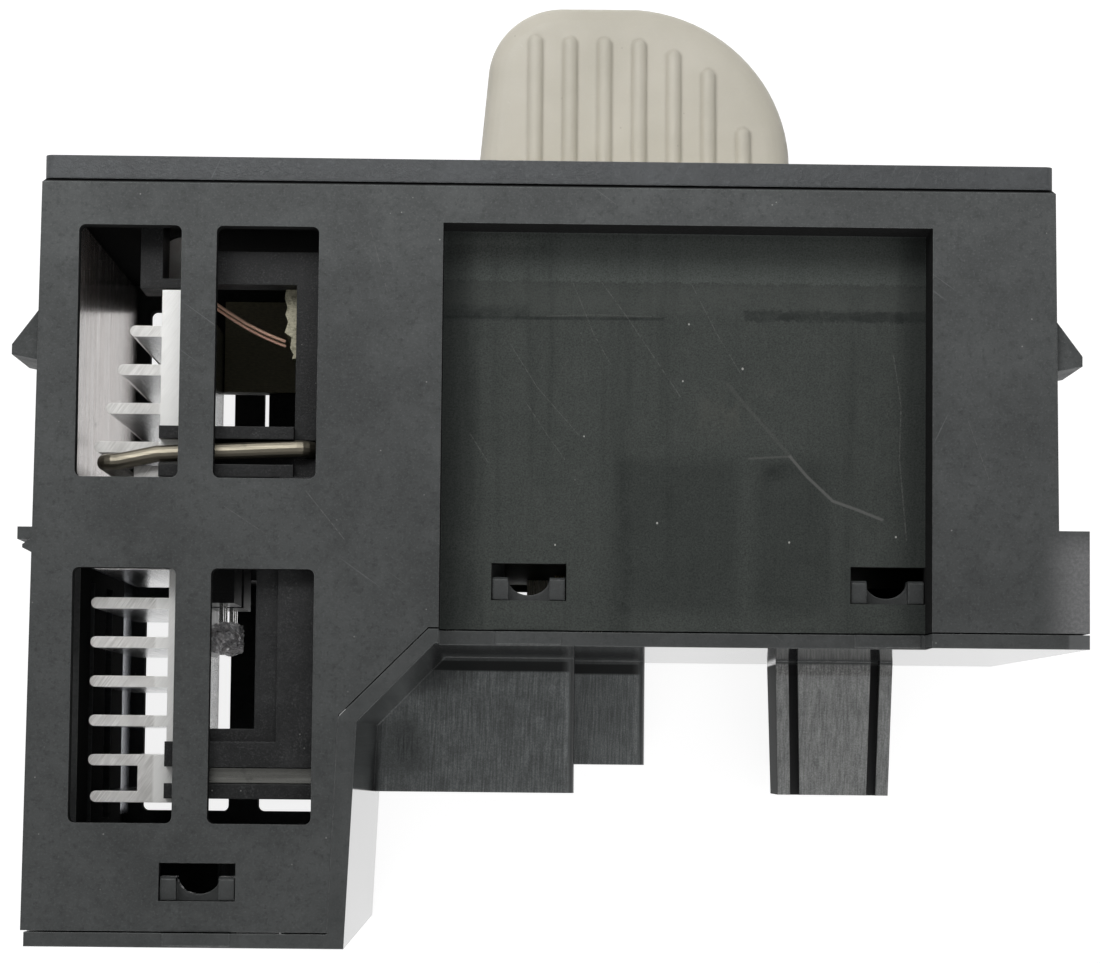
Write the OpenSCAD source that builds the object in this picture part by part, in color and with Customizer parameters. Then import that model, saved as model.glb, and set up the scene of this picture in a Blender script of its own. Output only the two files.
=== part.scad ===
// Dashboard headlight switch module with a turning paddle knob, a dimmer
// thumbwheel and a deep tower that holds a finned heat sink.
// X runs along the fascia towards the tower, Y runs from the fascia to the
// rear connectors, Z is up through the large flat side walls.
// The origin is the centre of the fascia's front face.

/* [Housing] */
// Length of the fascia along X
fascia_w = 121.6; // [110:0.1:135]
// Thickness of the fascia plate
fascia_t = 2.8; // [2:0.1:3.4]
// Distance between the two large side walls, outside
body_h = 72; // [66:0.5:80]
// Wall thickness of the housing
wall = 2; // [1.6:0.1:2.4]
// Distance from the fascia to the rear edge of the tower
tower_y = 92.8; // [90:0.1:100]
// Distance from the fascia to the rear edge of the shallow part
shallow_y = 56.4; // [54:0.1:60]
// Width of the tower, from its outer side to the corner of the diagonal
tower_w = 47.05; // [46:0.05:48]
// How far the diagonal runs in X and Y
diagonal_run = 10.6; // [9:0.1:12]
// Outward slope of the side walls from fascia to rear
side_draft = 0.8; // [0:0.1:1.2]
// Depth of the rectangular recess in the upper wall
recess_depth = 6; // [4:0.5:8]
// Distance from the narrow side of the housing to the recess
recess_margin = 14.85; // [12:0.05:18]
// Distance from the fascia to the front edge of the recess
recess_y = 7.7; // [6.8:0.1:10]

/* [Windows] */
// Width of each ventilation window
window_w = 12.3; // [11:0.1:12.6]
// Height of each ventilation window
window_l = 30.4; // [28:0.1:31]
// Corner radius of the windows
window_r = 0.8; // [0.4:0.1:2]
// Distance from the tower's outer side to each window column's centre
window_in = [10.7, 27.2];
// Y centres of the two window rows
window_y = [23.6, 64.85];
// Length of a latch window along Y
latch_l = 4.5; // [4:0.1:5.5]
// Width of a latch window along X
latch_w = 9.1; // [8:0.1:9.6]

/* [Knob] */
// Distance from the tower's outer side to the knob axis
knob_in = 72.35; // [70:0.05:76]
// Height of the knob above the fascia
knob_h = 27.4; // [24:0.1:34]
// Width of the knob grip
knob_w = 40.9; // [36:0.1:44]
// Diameter of the knob skirt
skirt_d = 45; // [42:0.5:50]
// Turning angle between two switch positions
step_angle = 45; // [30:5:45]
// Radius of the knob shaft
shaft_r = 4; // [3:0.1:5]
// Radial running clearance of shafts and spindles
run_gap = 0.06; // [0.03:0.01:0.1]

/* [Dimmer] */
// Distance from the tower's outer side to the middle of the thumbwheel
wheel_in = 41.05; // [40.5:0.05:42]
// Thickness of the thumbwheel
wheel_t = 7; // [5:0.1:7.4]
// Radius of the thumbwheel
wheel_r = 15; // [13:0.1:16]
// How far the thumbwheel stands out of the fascia
wheel_out = 2.4; // [1.5:0.1:3]
// Radius of the thumbwheel spindle
spindle_r = 2; // [1.5:0.1:2.5]

/* [Heat sink] */
// Thickness of each fin
fin_t = 1.35; // [1:0.05:1.8]
// Distance from fin to fin
fin_pitch = 4.72; // [4.5:0.02:4.8]
// Number of evenly spaced fins
fin_count = 12; // [10:1:12]
// Y of the first fin's front side
fin_y = 20; // [19.6:0.1:21]
// Distance from the tower's outer side to the fin tips
fin_tip_in = 6.25; // [5:0.05:9]
// Length of the extrusion along Z
sink_l = 39.5; // [34:0.5:42]
// Distance from the tower's outer side to the spine's flat mounting side
spine_in = 17.85; // [17.3:0.05:18.1]
// Spine thickness behind the lower fins
spine_t = 2.25; // [1.8:0.05:3]

/* [Connectors] */
// Length of the main connector shroud
main_shroud_l = 18.5; // [14:0.5:22]
// Length of the auxiliary connector shroud
aux_shroud_l = 14.6; // [11:0.2:18]
// Wall thickness of the shrouds
shroud_wall = 1.4; // [1.2:0.1:1.6]
// Length of the tapered post on the rear cover
post_l = 18.5; // [12:0.5:24]
// Width of the post at its root
post_w = 16.3; // [15:0.1:20]

/* [Hidden] */
$fn = 48;

// Small named clearances and shared levels
seat_gap = 0.1;          // between fixed pieces that lie against each other
eps = 0.01;              // overshoot of cutting solids
top_z = body_h / 2;      // outside of the upper wall
in_z = top_z - wall;     // inside of the upper and lower walls
side_lap = 0.25;         // housing side outside the fascia's edge
side_x = fascia_w / 2 + side_lap;    // housing side at the fascia
diagonal_x = side_x - tower_w;       // corner where the diagonal starts
front_y = fascia_t + wall;           // inside of the front wall
cover_t = 1.9;                       // thickness of the rear cover
floor_z = top_z - recess_depth;      // floor of the recess
under_z = floor_z - wall;            // inside of the recess floor
tower_x = diagonal_x + diagonal_run; // tower flank at the diagonal
tower_flank = 1;                     // slope of the tower flank
diagonal_y = shallow_y + diagonal_run;
recess_x = [recess_margin - side_x, diagonal_x - 1.2];
window_x = [for (d = window_in) side_x - d];
knob_x = side_x - knob_in;
wheel_x = side_x - wheel_in;
spine_x = side_x - spine_in;
fin_tip_x = side_x - fin_tip_in;
seam_gap = 0.18;                     // visible seam between housing and rear cover

// Rectangle with round corners, centred
module round_rect(w, h, r) {
    square([w - 2 * r, h], center = true);
    square([w, h - 2 * r], center = true);
    for (x = [-1, 1], y = [-1, 1])
        translate([x * (w / 2 - r), y * (h / 2 - r)]) circle(r, $fn = 32);
}

// Block given by its low and high corners
module block(low, high) {
    translate(low) cube(high - low);
}

// Solid of revolution or cylinder whose axis runs along Y, from y0 to y1
module along_y(r, y0, y1, x = 0, z = 0) {
    translate([x, y0, z]) rotate([-90, 0, 0]) cylinder(r = r, h = y1 - y0);
}

module along_x(r, x0, x1, y = 0, z = 0) {
    translate([x0, y, z]) rotate([0, 90, 0]) cylinder(r = r, h = x1 - x0);
}

// Extrude a profile drawn in the XY plane between two Z levels
module slab(z0, z1) {
    translate([0, 0, z0]) linear_extrude(z1 - z0) children();
}

// Extrude a profile drawn as [y, z] along X
module rail(x0, x1) {
    translate([x0, 0, 0]) rotate([90, 0, 90]) linear_extrude(x1 - x0) children();
}

// Extrude a profile drawn as [x, z] towards +Y
module depth(y0, y1) {
    translate([0, y1, 0]) rotate([90, 0, 0]) linear_extrude(y1 - y0) children();
}

function unit(v) = v / norm(v);

// Tube along a path of points; every ring faces the mean direction there
function path_dir(p, i) =
    i == 0 ? unit(p[1] - p[0]) :
    i == len(p) - 1 ? unit(p[i] - p[i - 1]) :
    unit(unit(p[i] - p[i - 1]) + unit(p[i + 1] - p[i]));
function path_side(d) = unit(cross(d, abs(d[1]) < 0.7 ? [0, 1, 0] : [1, 0, 0]));
module tube(p, r, sides = 10) {
    loft([
        for (i = [0 : len(p) - 1])
            let (d = path_dir(p, i), a = path_side(d), b = cross(d, a))
            [for (k = [0 : sides - 1]) p[i] + r * (cos(360 * k / sides) * a + sin(360 * k / sides) * b)]
    ]);
}

// Skin over rings that all have the same number of points
module loft(rings) {
    n = len(rings[0]);
    last = (len(rings) - 1) * n;
    polyhedron(
        [for (r = rings) each r],
        concat(
            [[for (k = [0 : n - 1]) k]],
            [
                for (i = [0 : len(rings) - 2], k = [0 : n - 1])
                    let (m = (k + 1) % n, o = i * n)
                    [o + k, o + n + k, o + n + m, o + m]
            ],
            [[for (k = [n - 1 : -1 : 0]) last + k]]
        ),
        convexity = 6
    );
}

// Arc of points, for rounded bends in a wire
function arc(c, r, a0, a1, n) =
    [for (i = [0 : n]) let (a = a0 + (a1 - a0) * i / n) c + r * [cos(a), sin(a)]];

// Housing outline at the seam with the rear cover
housing_outline = [
    [-side_x, fascia_t], [side_x, fascia_t],
    [side_x + side_draft, tower_y],
    [tower_x + tower_flank, tower_y], [tower_x, diagonal_y],
    [diagonal_x, shallow_y], [-side_x - side_draft * 0.6, shallow_y]
];
inner_x = side_x - wall;

// Rear step block beside the shallow part
ear_x = side_x + 4.05;
ear_y = shallow_y - 12.3;

// Latches of the rear cover: X centre, wall level they snap through
latches_near = [[diagonal_x - 11.95, floor_z], [19.4 - side_x, floor_z], [side_x - 20, top_z]];
latch_gap = 3.6;    // from the seam to the latch window
function latch_rear(x) = x > tower_x ? tower_y : shallow_y;

module windows_2d() {
    for (x = window_x, y = window_y)
        translate([x, y]) round_rect(window_w, window_l, window_r);
}

// Snap wedge that holds the module in the dashboard panel
wedge_h = 13;
wedge_y = window_y[0];
wedge_out = 3.4;
module snap_wedge(x, out) {
    polygon([
        [x - out * 0.1, wedge_y - 5.4], [x + out * wedge_out, wedge_y - 0.7],
        [x + out * wedge_out, wedge_y + 0.5], [x - out * 0.1, wedge_y + 1.2]
    ]);
}

module housing_shell() {
    difference() {
        union() {
            slab(-top_z, top_z) polygon(housing_outline);
            slab(-top_z, top_z)
                polygon([[-side_x, ear_y], [-ear_x, ear_y], [-ear_x, shallow_y], [-side_x, shallow_y]]);
        }
        // Inside, open at the stepped rear
        slab(-in_z, under_z) inside_2d();
        slab(under_z - eps, in_z) difference() {
            inside_2d();
            translate([recess_x[0] - wall, recess_y - wall])
                square([recess_x[1] - recess_x[0] + 2 * wall, shallow_y]);
        }
        // Rectangular recess, open at the rear edge
        block([recess_x[0], recess_y, floor_z], [recess_x[1], shallow_y + 1, top_z + 1]);
    }
}

module inside_2d() {
    polygon([
        [-inner_x, front_y], [inner_x, front_y], [inner_x, tower_y + 1],
        [tower_x + tower_flank - 1.2, tower_y + 1], [tower_x - 2, diagonal_y],
        [diagonal_x - 2, shallow_y + 1], [-inner_x, shallow_y + 1]
    ]);
}

module latch_holes() {
    for (l = latches_near) {
        y1 = latch_rear(l[0]) - latch_gap;
        block([l[0] - latch_w / 2, y1 - latch_l, l[1] - wall - 1], [l[0] + latch_w / 2, y1, l[1] + 1]);
        block([l[0] - latch_w / 2, y1 - latch_l, -top_z - 1], [l[0] + latch_w / 2, y1, -in_z + 1]);
    }
}

// Ledges on the tower's inner side that keep the side plate against the wall
plate_t = 0.8;
plate_x = inner_x - seat_gap / 2 - plate_t;
plate_y = [front_y + 1, window_y[1] + window_l / 2 + 0.35];
ledge_t = 0.9;
ledge_x = plate_x - seat_gap - ledge_t;
ledge_rows = [[15.5, 24.5], [1.5, 12], [-16, -5]];
ledge_y = window_y[1] - window_l / 2 + 0.55;
module plate_ledges() {
    for (r = ledge_rows)
        block([ledge_x, ledge_y, r[0]], [ledge_x + ledge_t, plate_y[1] + 1, r[1]]);
    block([ledge_x, ledge_y - 1.6, ledge_rows[2][0]],
          [ledge_x + ledge_t, ledge_y + 0.1, ledge_rows[0][1]]);
    block([ledge_x, plate_y[1] + seat_gap, ledge_rows[2][0]],
          [inner_x + eps, plate_y[1] + 2.6, ledge_rows[0][1]]);
}

// Small double lug on the tower's outer side
lug_y = shallow_y - 11.5;

// Bearing boss of the knob shaft and bearing rib of the spindle
boss_r = 7;
boss_y = front_y + 3.8;
wheel_y = wheel_r - wheel_out;
rib_x = wheel_x + wheel_t / 2 + 0.7;
slot_x = wheel_t / 2 + 0.5;
slot_z = sqrt(wheel_r * wheel_r - pow(wheel_y - front_y, 2)) + 0.8;
peg_r = 1.5;
pegs = [
    [7.05 - side_x, top_z - 10], [7.05 - side_x, 10 - top_z],
    [side_x - 7.05, top_z - 5.5], [side_x - 7.05, 5.5 - top_z],
    [knob_x - 18.1, 6 - top_z], [diagonal_x - 6, top_z - 5]
];

module main_housing() {
    color([0.27, 0.28, 0.285]) difference() {
        union() {
            housing_shell();
            plate_ledges();
            along_y(boss_r, front_y - eps, boss_y, knob_x);
            rail(rib_x, rib_x + 2) polygon([
                [front_y - eps, -9], [wheel_y + 2, -5], [wheel_y + 5, -2],
                [wheel_y + 5, 2], [wheel_y + 2, 5], [front_y - eps, 9]
            ]);
            for (s = [-1, 1]) {
                slab(s > 0 ? top_z - 1 - wedge_h : -top_z + 1, s > 0 ? top_z - 1 : -top_z + 1 + wedge_h) {
                    snap_wedge(side_x, 1);
                    snap_wedge(-side_x, -1);
                }
                slab(s > 0 ? top_z - 9 : -top_z, s > 0 ? top_z : -top_z + 9) polygon([
                    [side_x, lug_y], [side_x + 2.1, lug_y], [side_x + 2.1, lug_y + 1.5],
                    [side_x + 0.6, lug_y + 1.5], [side_x + 1.5, lug_y + 2.1], [side_x + 1.5, lug_y + 2.5],
                    [side_x + 0.3, lug_y + 3.1], [side_x, lug_y + 3.1]
                ]);
            }
        }
        slab(-top_z - 1, -in_z + eps) windows_2d();
        slab(in_z - eps, top_z + 1) windows_2d();
        latch_holes();
        along_y(shaft_r + run_gap, 0, boss_y + 1, knob_x);
        along_x(spindle_r + run_gap, rib_x - 1, rib_x + 3, wheel_y);
        block([wheel_x - slot_x, 0, -slot_z], [wheel_x + slot_x, front_y + 1, slot_z]);
        for (p = pegs) along_y(peg_r + seat_gap, 0, front_y + 1, p[0], p[1]);
        // Seam groove behind the fascia
        for (s = [-1, 1]) {
            rail(-side_x - 2, side_x + 2) polygon([
                [fascia_t - eps, s * (top_z - 0.5)], [fascia_t - eps, s * (top_z + 1)],
                [fascia_t + 1.5, s * (top_z + 1)]
            ]);
            slab(-top_z - 1, top_z + 1) polygon([
                [s * (side_x - 0.5), fascia_t - eps], [s * (side_x + 1), fascia_t - eps],
                [s * (side_x + 1), fascia_t + 1.5]
            ]);
        }
    }
}

// Fascia plate with pegs, knob opening and thumbwheel slot
hub_r = 9;
module fascia() {
    color([0.24, 0.245, 0.25]) difference() {
        union() {
            depth(0, fascia_t) round_rect(fascia_w, body_h - 0.4, 1);
            for (p = pegs) along_y(peg_r, fascia_t - eps, front_y + 0.8, p[0], p[1]);
        }
        along_y(hub_r + 0.4, -1, fascia_t + 1, knob_x);
        block([wheel_x - slot_x, -1, -slot_z], [wheel_x + slot_x, fascia_t + 1, slot_z]);
        // Shallow ring that the knob skirt turns in
        difference() {
            along_y(skirt_d / 2 + 0.8, -1, 0.5, knob_x);
            along_y(skirt_d / 2 - 1.6, -2, 1, knob_x);
        }
    }
}

// Rear cover: a stepped plate that follows the housing's seam
cover_inset = 0.4;
cover_outer_x = side_x + side_draft - cover_inset;
shallow_back = shallow_y + cover_t;
tower_back = tower_y + cover_t;
main_shroud_x = [diagonal_x - 18.7, tower_x - 1.4];
main_shroud_z = [2.1 - top_z, 18.5 - top_z];
aux_shroud_x = [main_shroud_x[0] - 10.1, main_shroud_x[0] + shroud_wall];
aux_shroud_z = [0.8 - top_z, 8.4 - top_z];
post_x = 20.3 - side_x;
post_z = [1 - top_z, 15 - top_z];

module cover_profile() {
    polygon([
        [-ear_x, shallow_y + seam_gap], [diagonal_x, shallow_y + seam_gap],
        [tower_x, diagonal_y + seam_gap], [tower_x + tower_flank, tower_y + seam_gap],
        [cover_outer_x, tower_y + seam_gap], [cover_outer_x, tower_back],
        [tower_x + tower_flank - 2, tower_back], [tower_x - 2.2, diagonal_y + 0.8],
        [diagonal_x - 0.8, shallow_back], [-ear_x, shallow_back]
    ]);
}

module shroud(x, z, y1) {
    w = x[1] - x[0];
    h = z[1] - z[0];
    difference() {
        depth(shallow_back - 0.5, y1) translate([x[0] + w / 2, z[0] + h / 2]) round_rect(w, h, 1.8);
        depth(shallow_back, y1 + 1) translate([x[0] + w / 2, z[0] + h / 2])
            round_rect(w - 2 * shroud_wall, h - 2 * shroud_wall, 0.8);
    }
}

// Tapered hollow post with two grooves on each broad side
post_groove = [1.75, 3.05];  // from the post's edge to the groove's sides
module post() {
    tip = post_w - 1;
    y1 = shallow_back + post_l;
    difference() {
        intersection() {
            slab(post_z[0], post_z[1]) polygon([
                [post_x - post_w / 2, shallow_back - 0.5], [post_x + post_w / 2, shallow_back - 0.5],
                [post_x + tip / 2, y1], [post_x - tip / 2, y1]
            ]);
            rail(post_x - post_w, post_x + post_w) polygon([
                [shallow_back - 1, post_z[0]], [shallow_back - 1, post_z[1]],
                [y1, post_z[1] - 1.2], [y1, post_z[0] + 1.2]
            ]);
        }
        for (s = [-1, 1]) {
            slab(post_z[1] - 2.2, post_z[1] + 1) polygon([
                for (g = [[0, post_w, shallow_back - 1], [1, post_w, shallow_back - 1],
                          [1, tip, y1 + 1], [0, tip, y1 + 1]])
                    [post_x + s * (g[1] / 2 - post_groove[g[0]]), g[2]]
            ]);
            slab(post_z[0] - 1, post_z[0] + 2.2) polygon([
                for (g = [[0, post_w, shallow_back - 1], [1, post_w, shallow_back - 1],
                          [1, tip, y1 + 1], [0, tip, y1 + 1]])
                    [post_x + s * (g[1] / 2 - post_groove[g[0]]), g[2]]
            ]);
        }
        // Cored out from the inside
        slab(post_z[0] + 3.8, post_z[1] - 3.8) polygon([
            [post_x - post_w / 2 + 2, shallow_y - 1], [post_x + post_w / 2 - 2, shallow_y - 1],
            [post_x + tip / 2 - 2, y1 - 2], [post_x - tip / 2 + 2, y1 - 2]
        ]);
    }
}

// Snap tongue: a notched plate with two barbs that catch the window's rear edge
tongue_t = 1.4;
barb_w = 1.85;
barb_l = 2.75;
lip_l = 0.65;        // what the notch leaves of the plate, ahead of the window's rear edge
barb_drop = 0.45;    // barb top below the outside of the wall
module tongue(x, level, rear, notched) {
    w = latch_w - 0.3;
    notch_r = w / 2 - barb_w;
    y1 = rear - latch_gap - seat_gap;
    y0 = y1 - barb_l;
    top = level - wall - 0.15;
    difference() {
        block([x - w / 2, y0, top - tongue_t], [x + w / 2, rear + seam_gap + 0.3, top]);
        if (notched) slab(top - tongue_t - 1, top + 1) translate([x, y0])
            scale([1, (barb_l - lip_l) / notch_r]) circle(notch_r);
    }
    for (s = [-1, 1]) {
        inner = x + s * (w / 2 - barb_w);
        outer = x + s * w / 2;
        rail(min(inner, outer), max(inner, outer)) polygon([
            [y0, top - eps], [y1, top - eps], [y1, level - barb_drop],
            [y0 + 0.3, level - barb_drop], [y0, level - barb_drop - 0.4]
        ]);
    }
}

module cover_tongues() {
    for (l = latches_near) {
        rear = latch_rear(l[0]);
        tongue(l[0], l[1], rear, true);
        mirror([0, 0, 1]) tongue(l[0], top_z, rear, false);
        // Root pad standing a little proud of the rim
        block([l[0] - 4, rear + seam_gap, l[1] - 1], [l[0] + 4, rear + cover_t - 0.2, l[1] + 0.15]);
    }
}

board_back = shallow_y - 9;
board_t = 1.6;
standoffs = [for (x = [6.05 - side_x, diagonal_x - 6], z = [11 - top_z, top_z - 16]) [x, z]];
main_blades_x = [for (i = [0 : 3]) main_shroud_x[0] + 5.3 + 5.6 * i];
main_blades_z = [main_shroud_z[1] - 3.9, main_shroud_z[0] + 4.7];
aux_blades_x = [for (i = [0, 1]) aux_shroud_x[0] + 3.2 + 4.2 * i];
aux_blade_z = (aux_shroud_z[0] + aux_shroud_z[1]) / 2;
blade_w = 2.8;
blade_t = 0.8;

module rear_cover() {
    color([0.255, 0.265, 0.27]) difference() {
        union() {
            difference() {
                slab(-top_z, top_z) cover_profile();
                block([recess_x[0], shallow_y - 1, floor_z], [recess_x[1], shallow_back + 1, top_z + 1]);
            }
            difference() {
                union() {
                    shroud(aux_shroud_x, aux_shroud_z, shallow_back + aux_shroud_l);
                    shroud(main_shroud_x, main_shroud_z, shallow_back + main_shroud_l);
                }
                // Keep the shroud outside the diagonal plate
                slab(-top_z - 1, top_z + 1) polygon([
                    [diagonal_x - 1, shallow_y], [tower_x - 1, diagonal_y], [tower_x + 1, shallow_y]
                ]);
            }
            post();
            cover_tongues();
            for (p = standoffs) along_y(3, board_back + seat_gap, shallow_y + 0.5, p[0], p[1]);
        }
        for (x = main_blades_x, z = main_blades_z) blade_slot(x, z);
        for (x = aux_blades_x) blade_slot(x, aux_blade_z);
        slab(post_z[0] + 3.8, post_z[1] - 3.8)
            translate([post_x - post_w / 2 + 2, shallow_y - 1]) square([post_w - 4, cover_t + 2]);
    }
}

module blade_slot(x, z) {
    block([x - blade_w / 2 - seat_gap, shallow_y - 1, z - blade_t / 2 - seat_gap],
          [x + blade_w / 2 + seat_gap, shallow_back + 12, z + blade_t / 2 + seat_gap]);
}

// Terminal blade with a chamfered tip, soldered into the main board
module blade(x, z, tip_y) {
    slab(z - blade_t / 2, z + blade_t / 2) polygon([
        [x - blade_w / 2, board_back], [x + blade_w / 2, board_back],
        [x + blade_w / 2, tip_y - 1.2], [x + blade_w / 4, tip_y],
        [x - blade_w / 4, tip_y], [x - blade_w / 2, tip_y - 1.2]
    ]);
}

module main_terminals() {
    color([0.8, 0.78, 0.7])
        for (x = main_blades_x, z = main_blades_z) blade(x, z, shallow_back + main_shroud_l - 6);
}

module auxiliary_terminals() {
    color([0.8, 0.78, 0.7])
        for (x = aux_blades_x) blade(x, aux_blade_z, shallow_back + aux_shroud_l - 5);
}

// Circuit board that carries the connector blades
module main_board() {
    color([0.18, 0.3, 0.16]) difference() {
        block([3.55 - side_x, board_back - board_t, 0.6 - in_z],
              [main_blades_x[3] + 4.1, board_back, under_z - 2.2]);
        for (p = pin_places)
            along_y(pin_r + seat_gap, board_back - board_t - 1, board_back + 1, p[0], p[1]);
    }
}

// Aluminium plate along the tower's inner side
module side_plate() {
    color([0.78, 0.76, 0.74]) difference() {
        block([plate_x, plate_y[0], 1.5 - in_z], [plate_x + plate_t, plate_y[1], in_z - 1.5]);
        for (p = pegs) along_y(peg_r + 1, 0, front_y + 2.5, p[0], p[1]);
    }
}

// Heat sink: one extrusion, fins pointing to the tower's outer side
sink_top = in_z - 2.2;
sink_z = [sink_top - sink_l, sink_top];
spine_front = fin_y - 4.4;
spine_step_y = fin_y + 18.6;
spine_upper_t = 3.7;
last_fin_y = fin_y + (fin_count - 1) * fin_pitch + 4.4;
// The first fins are shorter, following the bracket beside them
function fin_tip(i) = fin_tip_x - max(0, 3 - i) * 1.35;
module fin_profile(y, tip, root) {
    translate([root, y]) square([tip - root - fin_t / 2, fin_t]);
    translate([tip - fin_t / 2, y + fin_t / 2]) circle(d = fin_t, $fn = 24);
}
module heat_sink() {
    root = spine_x + 0.5;
    color([0.82, 0.82, 0.8]) slab(sink_z[0], sink_z[1]) {
        translate([spine_x, spine_front]) square([spine_upper_t, spine_step_y - spine_front]);
        translate([spine_x, spine_front]) square([spine_t, last_fin_y + fin_t - spine_front]);
        for (i = [0 : fin_count - 1]) fin_profile(fin_y + i * fin_pitch, fin_tip(i), root);
        fin_profile(last_fin_y, fin_tip_x - 0.3, root);
        // Thick root of the first fin behind the clip
        translate([root, fin_y + 4 * fin_pitch - 1.8]) square([spine_upper_t + 2.55, 2]);
        // Solid block that closes the last gap beside the spine
        translate([root, last_fin_y - 3.1]) square([spine_t + 2.9, 3.6]);
    }
}

// Carrier: moulded frame that holds the sink, the boards and the wires.
// Its places along Y are counted from the first fin.
function from_fin(d) = fin_y + d;
carrier_x = [tower_x + 2.8, spine_x - 0.2];
bar_x = carrier_x[0] + 3.2;
carrier_top = sink_top - 0.1;
carrier_low = carrier_top - 4.4;
bar_top = in_z - 0.3;
step_top = bar_top - 0.9;
finger_low = sink_top + seat_gap;
front_bars = [[from_fin(12.35), from_fin(13.85)], [from_fin(16.95), from_fin(18.5)]];
rear_bars = [[last_fin_y - 6, last_fin_y - 3], [last_fin_y - 1, last_fin_y + 0.8]];
panel_y = [front_bars[1][1] - 0.1, rear_bars[0][0] + 0.1];
panel_x = [bar_x + 1.55, bar_x + 4.25];
band_y = [from_fin(-9.2), from_fin(-5.2)];
bracket_x = [spine_x + 3.7, spine_x + 6.4];
deck_z = [sink_z[0] - 2.3, sink_z[0] - seat_gap];
deck_post_x = [bar_x + 0.9, spine_x - 1.2];
module bar(y, reach) {
    block([bar_x - eps, y[0], carrier_low], [carrier_x[1], y[1], bar_top]);
    block([carrier_x[1] - eps, y[0], finger_low], [spine_x + reach, y[1], bar_top]);
}
module carrier_frame() {
    cx = carrier_x[1];
    color([0.16, 0.165, 0.17]) difference() {
        union() {
            // Long wall beside the diagonal, and front band
            block([carrier_x[0], band_y[0], deck_z[0]], [bar_x, rear_bars[1][1], carrier_top]);
            block([carrier_x[0], panel_y[0], carrier_low], [bar_x, rear_bars[1][1], bar_top]);
            block([carrier_x[0], band_y[0], carrier_low], [cx + 1.2, band_y[1], carrier_top]);
            // Bracket that holds the choke
            block([bracket_x[0], front_y + seat_gap, carrier_low - 2],
                  [bracket_x[1], from_fin(-4.6), carrier_top]);
            block([cx + 1, from_fin(-5.8), carrier_low - 2], [bracket_x[1], from_fin(-4.6), carrier_top]);
            // Cross bars; their ends reach over the heat sink
            for (y = front_bars) bar(y, spine_upper_t - 0.1);
            for (y = rear_bars) bar(y, spine_t);
            // Floors under the two wires
            for (b = [front_bars, rear_bars])
                block([bar_x - eps, b[0][1] - 0.2, carrier_low], [cx, b[1][0] + 0.2, carrier_low + 2]);
            // Panel and its lower step beside the rear opening
            block([bar_x - eps, panel_y[0], carrier_low], [panel_x[0], panel_y[1], bar_top]);
            block([panel_x[0] - eps, panel_y[0], carrier_low], [panel_x[1], panel_y[1], step_top]);
            block([panel_x[1] - eps, panel_y[1] - 1.7, carrier_low], [cx, panel_y[1], step_top]);
            block([panel_x[1] - eps, panel_y[0], carrier_low], [cx, panel_y[0] + 10.6, carrier_low + 2]);
            // Decks behind the boards and under the sink, on one post
            block([bar_x - eps, from_fin(-3.6), deck_z[0]],
                  [panel_x[1] + 2.25, from_fin(13.6), deck_z[1]]);
            block([bar_x - eps, band_y[0], deck_z[0]], [spine_x + 3.4, dimmer_y[1] - 0.1, deck_z[1]]);
            block([bar_x - eps, from_fin(19.2), deck_z[0]], [spine_x + 3.4, from_fin(28.6), deck_z[1]]);
            block([deck_post_x[0], from_fin(20), -in_z],
                  [deck_post_x[1], from_fin(27.8), deck_z[0] + eps]);
        }
        // Slot for the driver board, and pockets for the ends of the clips
        block([driver_x[0] - 0.1, driver_y[0] - 0.05, driver_z[0] - 0.1],
              [driver_x[1] + 0.1, driver_y[1] + 0.1, carrier_top + 1]);
        block([wire_end_x - wire_r - 0.1, wire_run[0][1] - wire_r - 0.15, wire_leg_low - 0.1],
              [bar_x + 0.1, wire_run[0][1] + wire_r + 0.15, carrier_top + 1]);
        block([strip_x[0] - 0.1, strip_y[0] - 0.1, wire_leg_low + 0.3],
              [bar_x + 0.1, strip_y[1] + 0.1, bar_top + 1]);
    }
}

// Driver board: its broken edge shows at the window
driver_x = [bar_x + 0.15, bar_x + 1.65];
driver_y = [from_fin(-5.1), from_fin(3.4)];
driver_z = [deck_z[1] + 0.5, sink_top - 3.2];
module driver_board() {
    y0 = driver_y[0];
    y1 = driver_y[1];
    broken = driver_x[1] - 0.85;
    color([0.62, 0.62, 0.5]) slab(driver_z[0], driver_z[1]) polygon([
        [driver_x[0], y0], [driver_x[1] - 0.1, y0], [driver_x[1] + 0.05, y0 + 1.1],
        [driver_x[1] - 0.3, y0 + 2.2], [driver_x[1] - 0.05, y0 + 3.1], [driver_x[1] - 0.4, y0 + 4],
        [driver_x[1], y0 + 5.3], [broken, y0 + 5.9], [broken + 0.15, y1 - 1.3],
        [broken - 0.25, y1 - 0.5], [broken - 0.1, y1], [driver_x[0], y1]
    ]);
}

// Dimmer board, flat on the front deck
dimmer_y = [from_fin(-8.8), from_fin(3.4)];
module dimmer_board() {
    color([0.2, 0.2, 0.12])
        block([driver_x[1] + 0.15, dimmer_y[0], deck_z[1] + seat_gap],
              [spine_x - 0.2, dimmer_y[1], deck_z[1] + seat_gap + board_t]);
}

// Spring wire and spring strip that clamp the sink to the carrier
wire_r = 1;
wire_z = in_z - wire_r - 0.07;
wire_bend = 1.7;
wire_end_x = carrier_x[0] + 1.1;
wire_leg_low = sink_top - 2.4;
wire_sides = 16;
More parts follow.
